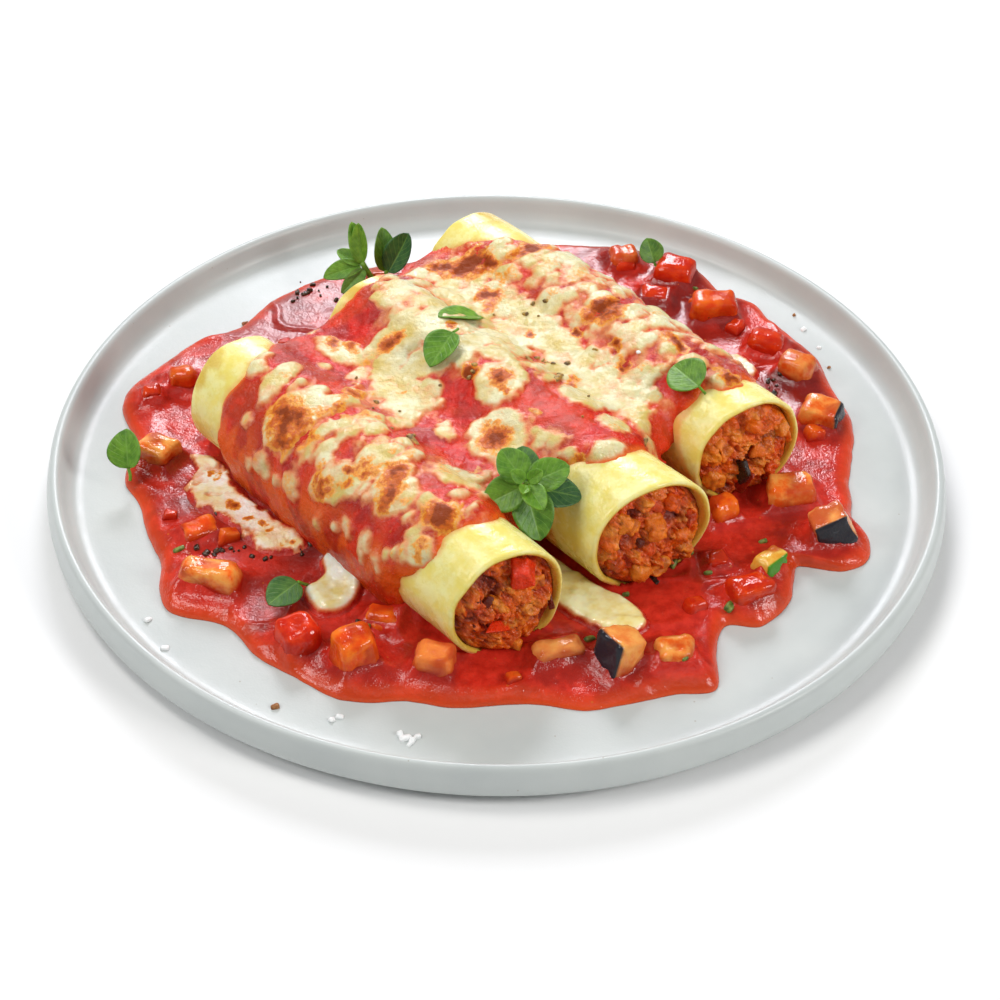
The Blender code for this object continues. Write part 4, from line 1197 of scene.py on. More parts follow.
def blended_inset(u, s, table, softness):
    """How far inside the nearest of several ellipses a point is, in millimetres, with the
    ellipses blended together; negative outside them all."""
    total = 0.0
    for entry in table:
        depth = (1.0 - ellipse_reach(u, s, entry)) * math.sqrt(entry[2] * entry[3])
        total = total + np.exp(np.clip(depth, -12.0, 12.0) / softness)
    return softness * np.log(total)


def spots(u, s, table, sharpness=3.0):
    """Sum of soft round spots."""
    total = 0.0
    for entry in table:
        total = total + entry[5] * np.exp(-1.1 * ellipse_reach(u, s, entry) ** sharpness)
    return total


def dome(depth, width):
    """0 at an edge and 1 from a given distance inside it, rising as a quarter circle."""
    return np.sqrt(1.0 - (1.0 - np.clip(depth / width, 0.0, 1.0)) ** 2)


def fused(u, s):
    """1 where the shreds have melted into one sheet, on the middle roll, and 0 where they
    still show one by one, on the outer rolls and near the blanket's ends."""
    middle = smoothstep(50.0, 62.0, s) * smoothstep(122.0, 112.0, s)
    return middle * smoothstep(-50.0, -36.0, u) * smoothstep(40.0, 26.0, u)


def cheese_fields(u, s):
    """How milky the cheese is, how far it is baked, and its thickness over the sauce.
    A broad sheet is a quilt of round shreds, larger and overlapping where the sheet is
    deep and small at its edges; clear-edged lumps lie on top; the gaps are taken away, and
    every outline wavers."""
    place = flat(u, s)
    sway_u = u + 0.7 * rough(place, 4.0, 3, 81)
    sway_s = s + 0.7 * rough(place, 4.0, 3, 83)
    gaps = spots(sway_u, sway_s, SAUCE_GAPS)
    sheet = blended_inset(sway_u, sway_s, CHEESE_SHEETS, 1.6) + 2.6 * rough(place, 7.0, 3, 85)
    sheet = np.clip(sheet, -9.0, 6.0) - 2.0 * gaps + 2.9 * fused(u, s)
    swirl_u, swirl_s = rough(place, 5.0, 2, 86), rough(place, 5.0, 2, 87)
    near, _, tag = cells(flat(u / 0.82 + swirl_u, s / 1.2 + swirl_s), SHRED, 89)
    round_shred = SHRED * (0.43 + 0.060 * sheet + 0.20 * (tag - 0.5) - near)
    sheet = np.minimum(round_shred, sheet + 1.5)
    lump = blended_inset(sway_u, sway_s, CHEESE_LENSES, 0.5) - 0.7 * gaps
    depth = 0.3 * np.logaddexp(sheet / 0.3, lump / 0.3)
    body = 1.0 + 0.25 * rough(place, 8.0, 2, 90) + 0.9 * (0.42 - near)
    thick = 0.88 * body * dome(depth, 2.3) + 0.09 * rough(place, 2.4, 2, 91)
    thick = np.where(depth > 0.0, thick * np.minimum(depth + 0.3, 1.0), 0.0)
    milk = smoothstep(-1.0, 2.2, depth + 0.5 * rough(place, 1.6, 2, 92))
    streaks = rough(flat(u * 0.8 + s * 0.35, s / 3.0), 2.6, 2, 84) * 0.5 + 0.5
    film = smoothstep(-6.0, 2.0, sheet_reach(u, s) + 3.0 * rough(place, 6.0, 2, 82))
    milk = np.maximum(milk, 0.42 * film * smoothstep(0.25, 0.85, streaks))
    milk = milk * (1.0 - 0.22 * smoothstep(0.0, 0.6, rough(place, 6.0, 3, 95)))
    milk = milk * (0.64 + 0.36 * smoothstep(6.0, 22.0, s + 3.0 * noise(place, 8.0, 98)))
    baked_u = u + 1.1 * rough(place, 2.6, 3, 94)
    baked_s = s + 1.1 * rough(place, 2.6, 3, 96)
    # The browned spots carry one painted leaf shadow as well.
    bake = spots(baked_u, baked_s, BROWNED_AND_LEAF_SHADOW, 1.7) * (1.05 + 0.45 * rough(place, 1.8, 2, 99))
    bake = bake + 0.28 * spots(baked_u, baked_s, BROWNED_AND_LEAF_SHADOW, 1.0)
    bake = bake * (1.0 + 0.35 * smoothstep(98.0, 112.0, s))
    blush = smoothstep(0.20, 0.70, rough(place, 5.0, 3, 93)) * smoothstep(0.3, 1.5, depth)
    bake = bake + 0.26 * blush * (1.0 - 0.6 * fused(u, s))
    return milk, np.clip(bake, 0.0, 1.3), thick


def sheet_reach(u, s):
    """Distance inside the broad sheets, with the gaps taken away."""
    return blended_inset(u, s, CHEESE_SHEETS, 1.6) - 1.2 * spots(u, s, SAUCE_GAPS)


def masked_solid(top, bottom, keep, **fields):
    """A closed solid from two point grids, kept only where a mask of cells says so: top cells,
    bottom cells the other way round, and walls along the mask's border."""
    rows, columns = top.shape[:2]
    count = rows * columns
    quads = grid_quads(rows, columns).reshape(rows - 1, columns - 1, 4)
    for _ in range(4):      # where only corners touch, fill the cells beside them
        a, b, c, d = keep[:-1, :-1], keep[:-1, 1:], keep[1:, :-1], keep[1:, 1:]
        touch = (a & d & ~b & ~c) | (b & c & ~a & ~d)
        keep[:-1, :-1] |= touch
        keep[:-1, 1:] |= touch
        keep[1:, :-1] |= touch
        keep[1:, 1:] |= touch
    edge = np.pad(keep, 1)
    walls = []
    sides = (((-1, 0), (0, 1)), ((0, 1), (1, 2)), ((1, 0), (2, 3)), ((0, -1), (3, 0)))
    for (down, right), (a, b) in sides:
        beyond = edge[1 + down:rows + down, 1 + right:columns + right]
        border = quads[keep & ~beyond]
        walls.append(np.stack([border[:, b], border[:, a], border[:, a] + count,
                               border[:, b] + count], axis=-1))
    quads = np.concatenate([quads[keep], quads[keep][:, ::-1] + count] + walls)
    used, index = np.unique(quads, return_inverse=True)
    points = np.concatenate([top.reshape(-1, 3), bottom.reshape(-1, 3)])[used]
    fields = {k: np.concatenate([v.ravel(), v.ravel()])[used] for k, v in fields.items()}
    return Shape(points, index.reshape(-1, 4), **fields)


def cell_highest(values):
    """The highest of the four corner values of each cell of a grid."""
    return np.maximum(np.maximum(values[:-1, :-1], values[1:, :-1]),
                      np.maximum(values[:-1, 1:], values[1:, 1:]))


def make_blanket():
    """The sauce over the rolls: a grid whose columns run from its back end to its front end,
    and an underside ruled straight along the rolls."""
    s = np.arange(-8.0, DRAPE_LENGTH + 8.0, 0.75)[:, None]
    share = np.linspace(0.0, 1.0, 170)[None]
    share = share - 0.12 * np.sin(TAU * share) / TAU
    back, front = blanket_edges(s)
    u = back + (front - back) * share
    s_wide = s + 0 * u
    top = topping_point(u, s_wide, sauce_top(u, s_wide))
    ends = []
    for end in (back, front):
        under = np.minimum(drape(s)[4] - 0.6, sauce_top(end, s) - 0.4)
        ends.append(topping_point(end, s, under)[:, 0])
    rows, columns = u.shape
    count = rows * columns
    points = np.concatenate([top.reshape(-1, 3), ends[0], ends[1]])
    r = np.arange(rows - 1)
    low, high = count + r, count + rows + r
    underside = np.stack([low, low + 1, high + 1, high], axis=-1)
    back_wall = np.stack([low + 1, low, r * columns, (r + 1) * columns], axis=-1)
    front_wall = np.stack([high, high + 1, (r + 2) * columns - 1, (r + 1) * columns - 1], axis=-1)
    c = np.arange(columns - 1)
    caps = []
    for row, order in ((0, 1), (rows - 1, -1)):
        edge = row * columns + c
        middle = np.where(c < columns // 2, count + row, count + rows + row)
        caps.append(np.stack([edge, middle, edge + 1], axis=-1)[:, ::order])
        split = row * columns + columns // 2
        caps.append(np.array([[split, count + row, count + rows + row]])[:, ::order])
    quads = np.concatenate([grid_quads(rows, columns), underside, back_wall, front_wall])
    thick = blanket_depth(u, s_wide)
    fields = np.concatenate([thick.ravel(), np.ones(2 * rows)])
    shape = Shape(points, quads, np.concatenate(caps), thick=fields)
    made = sauce_finish("tomato_sauce_baked", *BAKED_SAUCE, 2.2, 1.0, 0.15, 0.31)
    add_piece("sauce_over_rolls", shape, made, ["sauce_blanket"])


def make_cheese():
    """Melted cheese on the blanket: the cheese thickness added to the sauce's height."""
    step = 0.53
    s = np.arange(1.0, DRAPE_LENGTH + 5.0, step)[:, None]
    u = np.arange(-60.0, 56.0, step)[None]
    u, s = np.broadcast_arrays(u, s)
    milk, bake, thick = cheese_fields(u, s)
    kept = smoothstep(-2.0, 0.5, blanket_inside(u, s))
    base = sauce_top(u, s)
    lift = 0.10 * smoothstep(0.02, 0.12, milk * kept) - 0.04
    top = topping_point(u, s, base + lift + thick * kept)
    bottom = topping_point(u, s, base - 0.5)
    keep = cell_highest(np.where(kept > 0.02, milk, 0.0)) > 0.02
    shape = masked_solid(top, bottom, keep, milk=milk * kept, bake=bake * kept,
                         thick=blanket_depth(u, s))
    add_piece("melted_cheese_sheet", shape,
              cheese_finish("melted_cheese", (0.73, 0.63, 0.275), BAKED_SAUCE),
              ["cheese_topping"])


# ------------------------ cheese on the pool

# The four pieces of cheese that lie on the sauce, as outlines: x, y
BAKED_STRIP = (
    (-85, -5), (-80, -5), (-75.5, -10), (-72, -18), (-66, -25), (-58, -33), (-52, -38), (-50, -42),
    (-55, -45), (-62, -43), (-69, -37), (-75, -31), (-81, -26), (-85, -19), (-83, -12),
)
MOZZARELLA_DROP = (
    (-43, -46), (-39, -48), (-35, -53), (-34.5, -60), (-38, -66), (-44, -68), (-48, -64),
    (-50, -59), (-47, -56), (-45, -53), (-46, -49),
)
CHEESE_DRIP = (
    (14.2, -43.0), (21.2, -49.8), (28.2, -56.3), (35.3, -61.4), (39.3, -70.4), (33.0, -74.0),
    (26.5, -71.5), (20, -66.9), (13.8, -60.7), (7.8, -53), (5, -47.5), (9, -43.5),
)
CHEESE_BLOB = (
    (67.3, 44.6), (71.7, 44.7), (74.6, 41.5), (75.6, 37), (74, 33), (70.4, 33.5), (66.8, 37.4),
    (65.5, 41.2),
)
# node, slot, outline, thickness, width of the rounded edge, patchiness, browned spots in x and y
POOL_CHEESE = (
    ("cheese_baked_strip", "melted_cheese", BAKED_STRIP, 1.2, 1.6, 0.6,
     ((-78, -14, 2.2, 3.2, 0, 0.5), (-71, -27, 2.6, 2.0, -40, 0.7), (-61, -36, 3.4, 1.6, -40, 0.9),
      (-55, -42, 2.4, 1.4, 0, 0.9), (-66, -33, 2.0, 1.6, 0, 0.5))),
    ("mozzarella_drop", "mozzarella", MOZZARELLA_DROP, 3.0, 3.2, 0.0, ()),
    ("cheese_drip", "mozzarella", CHEESE_DRIP, 2.1, 2.6, 0.0,
     ((29.0, -63.0, 2.4, 1.3, -35, 0.35),)),
    ("cheese_blob", "melted_cheese", CHEESE_BLOB, 2.2, 2.4, 0.3, ((71, 39, 2.2, 2.6, 0, 0.35),)),
)


def outline_inset(x, y, outline):
    """Distance inside a smooth closed outline; negative outside it."""
    curve = rounded_outline(outline, 6)
    ends = np.roll(curve, -1, axis=0)
    nearest, crossings = np.full(x.shape, 1e9), np.zeros(x.shape, int)
    for (ax, ay), (bx, by) in zip(curve, ends):
        dx, dy = bx - ax, by - ay
        t = np.clip(((x - ax) * dx + (y - ay) * dy) / (dx * dx + dy * dy), 0.0, 1.0)
        nearest = np.minimum(nearest, np.hypot(x - ax - t * dx, y - ay - t * dy))
        if ay != by:
            level = ax + (y - ay) * dx / dy
            crossings += ((ay > y) != (by > y)) & (x < level)
    return np.where(crossings % 2 == 1, nearest, -nearest)


def make_pool_cheese():
    """Cheese on the pool: a pad with a rounded edge along the outline, riding on the pool's
    relief, with thinner streaks along crease lines on the patchy pieces; the baked strip is broken
    into patches."""
    looks = {
        "mozzarella_drop": cheese_finish("mozzarella", (0.86, 0.84, 0.50), POOL_SAUCE, 0.22),
        # Part painted light: a brighter, yellower copy of the mozzarella for the drip, partly its
        # own yellower tone and partly to lift it where the rolls shade it.
        "cheese_drip": cheese_finish("mozzarella_drip_painted_light", (0.98, 0.86, 0.36), POOL_SAUCE, 0.22),
    }
    baked = cheese_finish("cheese_on_pool", (0.96, 0.85, 0.54), POOL_SAUCE)
    for index, (node, slot, outline, height, edge, patchy, brown) in enumerate(POOL_CHEESE):
        box = np.array(outline, float)
        (x0, y0), (x1, y1) = box.min(axis=0) - 2.0, box.max(axis=0) + 2.0
        x, y = np.meshgrid(np.arange(x0, x1, 0.35), np.arange(y0, y1, 0.35))
        place = flat(x, y)
        sway = 0.6 if patchy else 0.25
        sway_x = x + sway * rough(place, 4.0, 2, 111)
        sway_y = y + sway * rough(place, 4.0, 2, 113)
        depth = outline_inset(sway_x, sway_y, outline)
        holes = smoothstep(0.16, 0.50, rough(place, 5.5, 3, 115 + index)) * patchy
        thick = height * dome(depth, edge) * (1.0 - 0.75 * holes)
        thick = thick + 0.12 * rough(place, 3.0, 2, 117) * dome(depth, edge)
        crease = rough(flat(x + y, (x - y) / 3.5), 4.0, 2, 119)
        ragged = depth + patchy * (1.8 * rough(place, 2.6, 3, 121) + 0.5)
        milk = smoothstep(-0.3, 1.6 + 1.2 * patchy, ragged) * (1.0 - 0.55 * holes)
        milk = milk * (1.0 - 0.30 * patchy * (crease > 0.1))
        bake = spots(sway_x, sway_y, brown) if brown else 0.0 * x
        bake = bake * (0.8 + 0.8 * rough(place, 1.8, 2, 118)) * smoothstep(0.0, 1.0, depth)
        base = pool_relief(x, y)
        top = np.stack([x, y, base + 0.08 + thick], axis=-1)
        bottom = np.stack([x, y, base - 0.6], axis=-1)
        shape = masked_solid(top, bottom, cell_highest(depth) > -0.3, milk=np.clip(milk, 0.0, 1.0),
                             bake=np.clip(bake, 0.0, 1.3), thick=0.0 * x + 1.0)
        add_piece(node + "_look", shape, looks.get(node, baked), [node])


# ------------------------ diced vegetables' looks

# Skinned side of a cube: the direction, in x, y and z, that the side faces
SKINS = {
    "diced_aubergine_4": (-0.6, -0.75, -0.2), "diced_aubergine_7": (-0.4, -0.9, 0.3),
    "diced_courgette_1": (0.8, -0.4, 0.2), "diced_aubergine_8": (0.9, 0.3, 0.0),
}
# Cubes of paler flesh
PALE = {"diced_carrot_5": 0.35, "diced_aubergine_3": 0.5, "diced_carrot_8": 0.2,
        "diced_aubergine_7": 0.6, "diced_aubergine_4": 0.4}
# Diced vegetables' small offcuts on the pool: kind, x, y, half sizes, turn
OFFCUTS = (
    ("carrot", -71.5, -38.5, 3.0, 2.4, 2.0, 20), ("carrot", -38.0, 81.5, 3.4, 2.4, 2.2, 10),
    ("carrot", -30.5, -71.5, 3.2, 2.6, 2.0, -20), ("tomato", 38.5, 90.0, 3.2, 2.4, 2.0, 10),
    ("tomato", -70.0, 40.0, 2.4, 1.8, 1.6, 40), ("carrot", 61.0, 70.5, 3.4, 2.8, 2.2, 50),
    ("tomato", 52.0, -62.5, 2.8, 2.2, 2.0, 30), ("tomato", 79.0, 52.0, 2.6, 2.2, 2.0, 0),
    ("tomato", 71.0, 59.5, 2.8, 2.2, 1.8, 60), ("carrot", 90.0, 9.0, 2.8, 2.2, 1.9, 15),
    ("tomato", 84.0, -18.0, 2.2, 1.7, 1.6, 35), ("carrot", 5.0, -89.0, 2.0, 1.6, 1.2, 20),
    ("tomato", -88.0, -30.0, 1.8, 1.5, 1.2, 0),
)


def make_cube(name, seed):
    """A stewed cube: a soft-edged chunk on the CAD cube's own axes, darker where the sauce has
    soaked in, with skin on the side that has one."""
    centre, axes, half = CUBES[name]
    upright = int(np.argmax(np.abs(axes[:, 2])))
    order = [k for k in range(3) if k != upright] + [upright]
    own = axes[order]
    own[2] = own[2] * np.sign(own[2][2])
    own[0] = np.cross(own[1], own[2])
    if name in SKINS:
        size, taper, lean, rounding = 0.95, 0.05, 0.0, 0.30
    else:
        size, rounding = 1.0, 0.55
        taper, lean = 0.04 + 0.14 * (seed * 7 % 5) / 4, 0.16 * (seed % 3 - 1)
    local, quads, unit = chunk(half[order] * size + 0.25, seed, taper, lean, 0.9, FINE, rounding)
    points = local @ own + centre
    level = points[:, 2] + 1.8 * rough(points, 3.0, 2, 305)
    towards_back = points[:, 1] + 4.0 * rough(points, 5.0, 2, 307)
    soak = smoothstep(POOL_LEVEL + 4.6, POOL_LEVEL + 0.6, level)
    soak = np.maximum(soak, 0.70 * smoothstep(0.0, 0.5, rough(points, 4.5, 2, 306 + seed)))
    soak = np.maximum(soak, 0.40 * smoothstep(8.0, 26.0, towards_back))
    skin = np.zeros(len(points))
    if name in SKINS:
        way = np.array(SKINS[name], float)
        side = int(np.argmax(np.abs(own @ way)))
        facing = unit[:, side] * np.sign(own[side] @ way)
        skin = smoothstep(0.80, 0.97, facing)
        soak = soak * (1.0 - skin)
    return Shape(points, quads, soak=soak, skin=skin, pale=PALE.get(name, 0.0))


def make_dice():
    """Every cube, and each kind's offcuts as one piece."""
    kinds = {
        "carrot": vegetable_finish("carrot", (0.88, 0.080, 0.005), (1.0, 0.21, 0.016),
                                   (0.5, 0.1, 0.02), 0.13),
        "tomato": vegetable_finish("tomato", (0.62, 0.022, 0.004), (0.86, 0.070, 0.006),
                                   (0.5, 0.02, 0.01), 0.10),
        "aubergine": vegetable_finish("aubergine", (0.88, 0.145, 0.012), (0.98, 0.42, 0.09),
                                      (0.026, 0.024, 0.032), 0.10),
        "courgette": vegetable_finish("courgette", (0.80, 0.34, 0.03), (0.84, 0.55, 0.10),
                                      (0.07, 0.30, 0.012), 0.20),
        "red_pepper": vegetable_finish("red_pepper", (0.60, 0.020, 0.006), (0.80, 0.05, 0.010),
                                       (0.5, 0.02, 0.01), 0.10),
    }
    for seed, name in enumerate(DICE):
        kind = name.split("_")[1]
        kind = {"pepper": "red_pepper"}.get(kind, kind)
        add_piece("stewed_" + name, make_cube(name, seed), kinds[kind], [name])
    for kind in ("carrot", "tomato"):
        shapes = []
        for seed, (which, x, y, *half, turn) in enumerate(OFFCUTS):
            if which == kind:
                body, quads, _ = chunk(half, seed + 60, 0.15, 0.1, 0.6, FINE)
                points = body @ turned_axes(turn, 8, -8) + [x, y, POOL_LEVEL + 0.25 * half[2]]
                soak = 0.35 + 0.65 * smoothstep(POOL_LEVEL + 2.0, POOL_LEVEL, points[:, 2])
                shapes.append(Shape(points, quads, soak=soak, skin=0.0, pale=0.0))
        add_piece(kind + "_offcuts", join(shapes), kinds[kind])


# ------------------------ oregano

def leaf(base, way, up, length, width, bend=0.25, cup=0.25, age=0.0, curl=0.0):
    """A leaf as two grids in t, from stalk to tip, and w, from edge to edge.  Half its width is
    width/2 times sin(pi t^0.85)^0.6; it bends down along t, rises towards its edges, and curls
    to one side."""
    way = np.asarray(way, float)
    way = way / np.linalg.norm(way)
    up = np.asarray(up, float) - way * np.dot(way, up)
    up = up / np.linalg.norm(up)
    side = np.cross(up, way)
    t = np.linspace(0.0, 1.0, 20)[:, None]
    w = np.linspace(-1.0, 1.0, 13)[None]
    half = width / 2 * np.maximum(np.sin(math.pi * t ** 0.85), 0.0) ** 0.6 + 0.12
    turn = bend * t
    along = length * (np.sin(turn) / bend if abs(bend) > 1e-3 else t)
    drop = length * (1.0 - np.cos(turn)) / (bend if abs(bend) > 1e-3 else 1.0)
    ribs = 0.10 * np.cos(TAU * (t * 6.5 - np.abs(w) * 2.4)) * (1 - w ** 2) * np.sin(math.pi * t)
    groove = 0.25 * np.exp(-(w / 0.10) ** 2) * np.sin(math.pi * t)
    rise = cup * half * np.abs(w) ** 1.3 - groove + ribs + curl * half * w * t - drop
    body = (np.asarray(base, float) + way * along[..., None] + side * (half * w)[..., None]
            + up * rise[..., None])
    under = body - up * 0.32
    rows, columns = body.shape[:2]
    count = rows * columns
    quads = grid_quads(rows, columns)
    ring = np.concatenate([np.arange(columns - 1), np.arange(1, rows) * columns - 1,
                           np.arange(count - 1, count - columns, -1),
                           np.arange(rows - 1, 0, -1) * columns])
    after = np.roll(ring, -1)
    wall = np.stack([after, ring, ring + count, after + count], axis=-1)
    grids = {"along": t + 0 * w, "across": w + 0 * t}
    fields = {k: np.concatenate([v.ravel(), v.ravel()]) for k, v in grids.items()}
    return Shape(np.concatenate([body.reshape(-1, 3), under.reshape(-1, 3)]),
                 np.concatenate([quads, quads[:, ::-1] + count, wall]), age=age, **fields)


def stalk(points, radius, around=8):
    """A round stalk: a ring of points carried along a path, closed with fans."""
    path = np.asarray(points, float)
    way = np.gradient(path, axis=0)
    way /= np.linalg.norm(way, axis=1, keepdims=True)
    side = np.cross(way, [0.3, 0.2, 1.0])
    side /= np.linalg.norm(side, axis=1, keepdims=True)
    other = np.cross(way, side)
    turn = np.linspace(0, TAU, around, endpoint=False)
    ring = (path[:, None] + radius * (np.cos(turn)[None, :, None] * side[:, None]
                                      + np.sin(turn)[None, :, None] * other[:, None]))
    rows = len(path)
    return Shape(np.concatenate([ring.reshape(-1, 3), path[:1], path[-1:]]),
                 grid_quads(rows, around, close_columns=True), end_fans(rows, around),
                 age=0.0, along=0.5, across=0.5)


def bowed_path(start, middle, end, count=9):
    """Points of a parabola-like curve from start to end, drawn towards a middle point."""
    t = np.linspace(0.0, 1.0, count)[:, None]
    start, middle, end = (np.asarray(point, float) for point in (start, middle, end))
    return (1 - t) ** 2 * start + 2 * t * (1 - t) * middle + t ** 2 * end


# Front sprig: its middle, the way its crown faces, and for each leaf the turn round the crown,
# the pitch out of it, the distance down the stalk, length, width, bend and age
CROWN = (7.4, -50.6, 39.0)
CROWN_AXIS = (0.04, -0.60, 0.80)
CROWN_LEAVES = (
    (127, 0.10, 0.6, 10.5, 8.6, 0.25, 0.15), (96, 0.00, 2.0, 10.0, 8.0, 0.20, 0.65),
    (26, 0.15, 0.6, 11.5, 8.6, 0.25, 0.10), (-6, -0.10, 2.2, 14.5, 8.6, 0.25, 0.95),
    (209, 0.05, 1.0, 11.5, 9.4, 0.30, 0.15), (-72, 0.00, 1.4, 14.0, 10.6, 0.35, 0.40),
    (-58, 0.55, -0.6, 8.4, 6.0, 0.30, 0.00), (150, 0.75, -0.8, 4.6, 3.6, 0.20, 0.00),
    (35, 0.85, -0.8, 4.8, 3.6, 0.20, 0.00), (255, 0.95, -1.0, 3.6, 2.8, 0.20, 0.00),
)
# Back sprig: base, way, up, length, width, bend, cup, age, curl of each leaf
BACK_NODE = (-42.5, 78.0, 16.0)
BACK_LEAVES = (
    (BACK_NODE, (-0.22, 0.50, 0.87), (0.3, -0.87, 0.5), 13.0, 5.2, 0.15, 0.5, 0.05, 0.0),
    (BACK_NODE, (-0.05, 0.55, 0.83), (-0.2, -0.83, 0.5), 12.4, 5.0, -0.2, 0.5, 0.0, 0.0),
    ((-42.8, 77.8, 16.0), (-0.85, 0.35, 0.42), (0, -0.5, 0.85), 8.4, 4.6, 0.3, 0.3, 0.1, 0.0),
    ((-42.6, 77.4, 15.6), (-0.93, -0.36, 0.02), (0.1, -0.45, 0.9), 12.0, 6.4, 0.5, 0.3, 0.1, 0.0),
    ((-41.5, 76.6, 15.0), (-0.52, -0.75, -0.20), (0.4, -0.4, 0.8), 10.5, 4.8, 0.4, 0.3, 0.25, 0.2),
)
BACK_PAIR = (
    ((-35.5, 80.5, 11.5), (-0.02, 0.45, 0.88), (0.35, -0.85, 0.3), 13.6, 7.8, 0.35, 0.5, 0.25, 0.5),
    ((-34.5, 80.0, 11.5), (0.50, 0.42, 0.75), (-0.35, -0.8, 0.5), 14.0, 8.4, -0.3, 0.4, 0.95, 0.0),
)
# Loose leaves: name, base, way, up, length, width, bend, cup, age, curl
LOOSE_LEAVES = (
    ("by_aubergine", (-101.0, -15.5, 12.0), (-0.10, 0.42, 0.80), (-0.25, -0.85, 0.45),
     11.0, 9.2, 0.35, 0.45, 0.15, 0.3),
    ("on_mozzarella", (-51.0, -60.0, 12.4), (-0.62, -0.74, 0.10), (0.05, -0.25, 0.96),
     10.5, 9.0, 0.35, 0.10, 0.75, 0.0),
    ("at_the_back", (47.6, 86.8, 12.0), (-0.30, 0.50, 0.80), (0.10, -0.80, 0.58),
     8.0, 7.4, 0.25, 0.40, 0.45, 0.0),
)
# Leaves on the topping: name, u and s of base and tip, heights there, width, cup, age, curl
TOPPING_LEAVES = (
    ("floating", (-21.5, 100.0), (-24.0, 87.0), 2.8, 3.6, 8.6, 0.25, 0.0, 0.1),
    ("two_lobed", (-14.3, 84.0), (-10.8, 74.0), 3.6, 4.2, 9.4, 0.45, 0.20, 0.0),
    ("on_back_roll", (43.6, 124.6), (32.6, 125.6), 3.4, 4.0, 11.4, 0.22, 0.20, 0.0),
)


def make_oregano():
    """Two sprigs and a pair, each leaves round a node on a stalk, and single leaves on stalks."""
    made = leaf_finish()
    axis = np.array(CROWN_AXIS) / np.linalg.norm(CROWN_AXIS)
    right = np.cross([0.0, 1.0, 0.0], axis)
    right /= np.linalg.norm(right)
    away = np.cross(axis, right)
    crown = np.array(CROWN)
    foot = crown - axis * 8.0 + away * 3.0
    shapes = [stalk(bowed_path(crown + axis * 0.8, crown - axis * 5.0, foot), 0.7)]
    for degrees, pitch, below, length, width, bend, age in CROWN_LEAVES:
        turn = math.radians(degrees)
        way = right * math.cos(turn) + away * math.sin(turn) + axis * pitch
        base = crown - axis * below + way * 0.7
        shapes.append(leaf(base, way, axis, length, width, bend, 0.28, age))
    add_piece("oregano_sprig_front", join(shapes), made)

    node = np.array(BACK_NODE)
    shapes = [stalk(bowed_path((-37.5, 76.0, 8.6), (-40.0, 76.5, 13.0), node + 0.3), 0.9)]
    add_piece("oregano_sprig_back", join(shapes + [leaf(*entry) for entry in BACK_LEAVES]), made)
    shapes = [stalk(bowed_path((-34.0, 76.0, 8.6), (-35.0, 79.5, 9.5), (-35.0, 80.4, 12.0)), 0.7)]
    add_piece("oregano_pair_back", join(shapes + [leaf(*entry) for entry in BACK_PAIR]), made)

    for name, base, *rest in LOOSE_LEAVES:
        foot = np.array(base) - np.array(rest[0]) * 3.5
        foot[2] = min(foot[2], 9.0)
        tail = stalk(bowed_path(foot, (foot + base) / 2 + np.array([0.6, -0.4, 0.0]), base), 0.45)
        add_piece("oregano_leaf_" + name, join([leaf(base, *rest), tail]), made)
    for name, base, tip, low, high, width, cup, age, curl in TOPPING_LEAVES:
        start, end = topping_point(*base, low), topping_point(*tip, high)
        normal = topping_point(*base, low + 1.0) - start
        length = float(np.linalg.norm(end - start))
        blade = leaf(start, end - start, normal, length, width, 0.2, cup, age, curl)
        foot = start - (end - start) * 0.22 - normal * 1.2
        tail = stalk(bowed_path(foot, start - normal * 0.2, start), 0.4)
        add_piece("oregano_leaf_" + name, join([blade, tail]), made)


# ------------------------ small bits

# Herb and pepper flecks on the topping: u, s, half length, half width, turn in degrees
TOPPING_FLECKS = (
    (-14.5, 121.5, 1.3, 0.8, 20), (-17.5, 118.5, 1.1, 0.8, 80), (-16.0, 114.0, 1.2, 0.9, 140),
    (-12.5, 116.0, 0.5, 0.4, 0), (10.0, 117.0, 1.2, 0.5, -20), (8.0, 107.5, 1.3, 0.9, 40),
    (0.8, 102.6, 1.3, 0.7, 10), (2.6, 103.2, 1.2, 0.6, 70), (4.6, 102.4, 1.0, 0.6, -40),
    (6.6, 102.9, 1.1, 0.7, 20), (1.0, 99.0, 2.0, 0.9, -60), (13.0, 98.0, 2.4, 1.3, 60),
    (12.0, 100.4, 1.4, 0.9, 10), (-2.4, 81.4, 1.3, 0.8, 30), (-1.0, 79.6, 1.1, 0.8, -30),
    (-0.2, 77.6, 1.0, 0.7, 70), (-4.6, 71.0, 0.6, 0.5, 0), (-12.6, 53.5, 1.3, 0.8, 130),
    (8.8, 47.8, 3.2, 0.9, -50), (6.0, 50.6, 1.0, 0.7, 20), (1.6, 46.6, 0.7, 0.6, 0),
    (-24.0, 56.0, 0.8, 0.5, 60), (46.0, 66.6, 1.5, 0.8, 60), (44.6, 102.0, 1.6, 1.1, 70),
    (-16.8, 80.2, 0.8, 0.5, 10), (-5.0, 55.6, 0.5, 0.4, 0), (-22.0, 107.0, 0.6, 0.5, 0),
    (24.0, 99.5, 0.6, 0.4, 40), (-9.0, 49.0, 0.6, 0.4, 20), (33.0, 88.0, 0.5, 0.4, 0),
)
# Patches of ground pepper on the pool: x, y, half spreads, how many
PEPPER_PATCHES = (
    (-71, -44, 9, 4, 16), (-51, -43, 4, 4, 8), (-60, 74, 7, 5, 14), (80, 31, 5, 5, 9),
    (-34, -75, 3, 3, 4), (66, 63, 3, 3, 3), (-74, -27, 3, 3, 3),
)
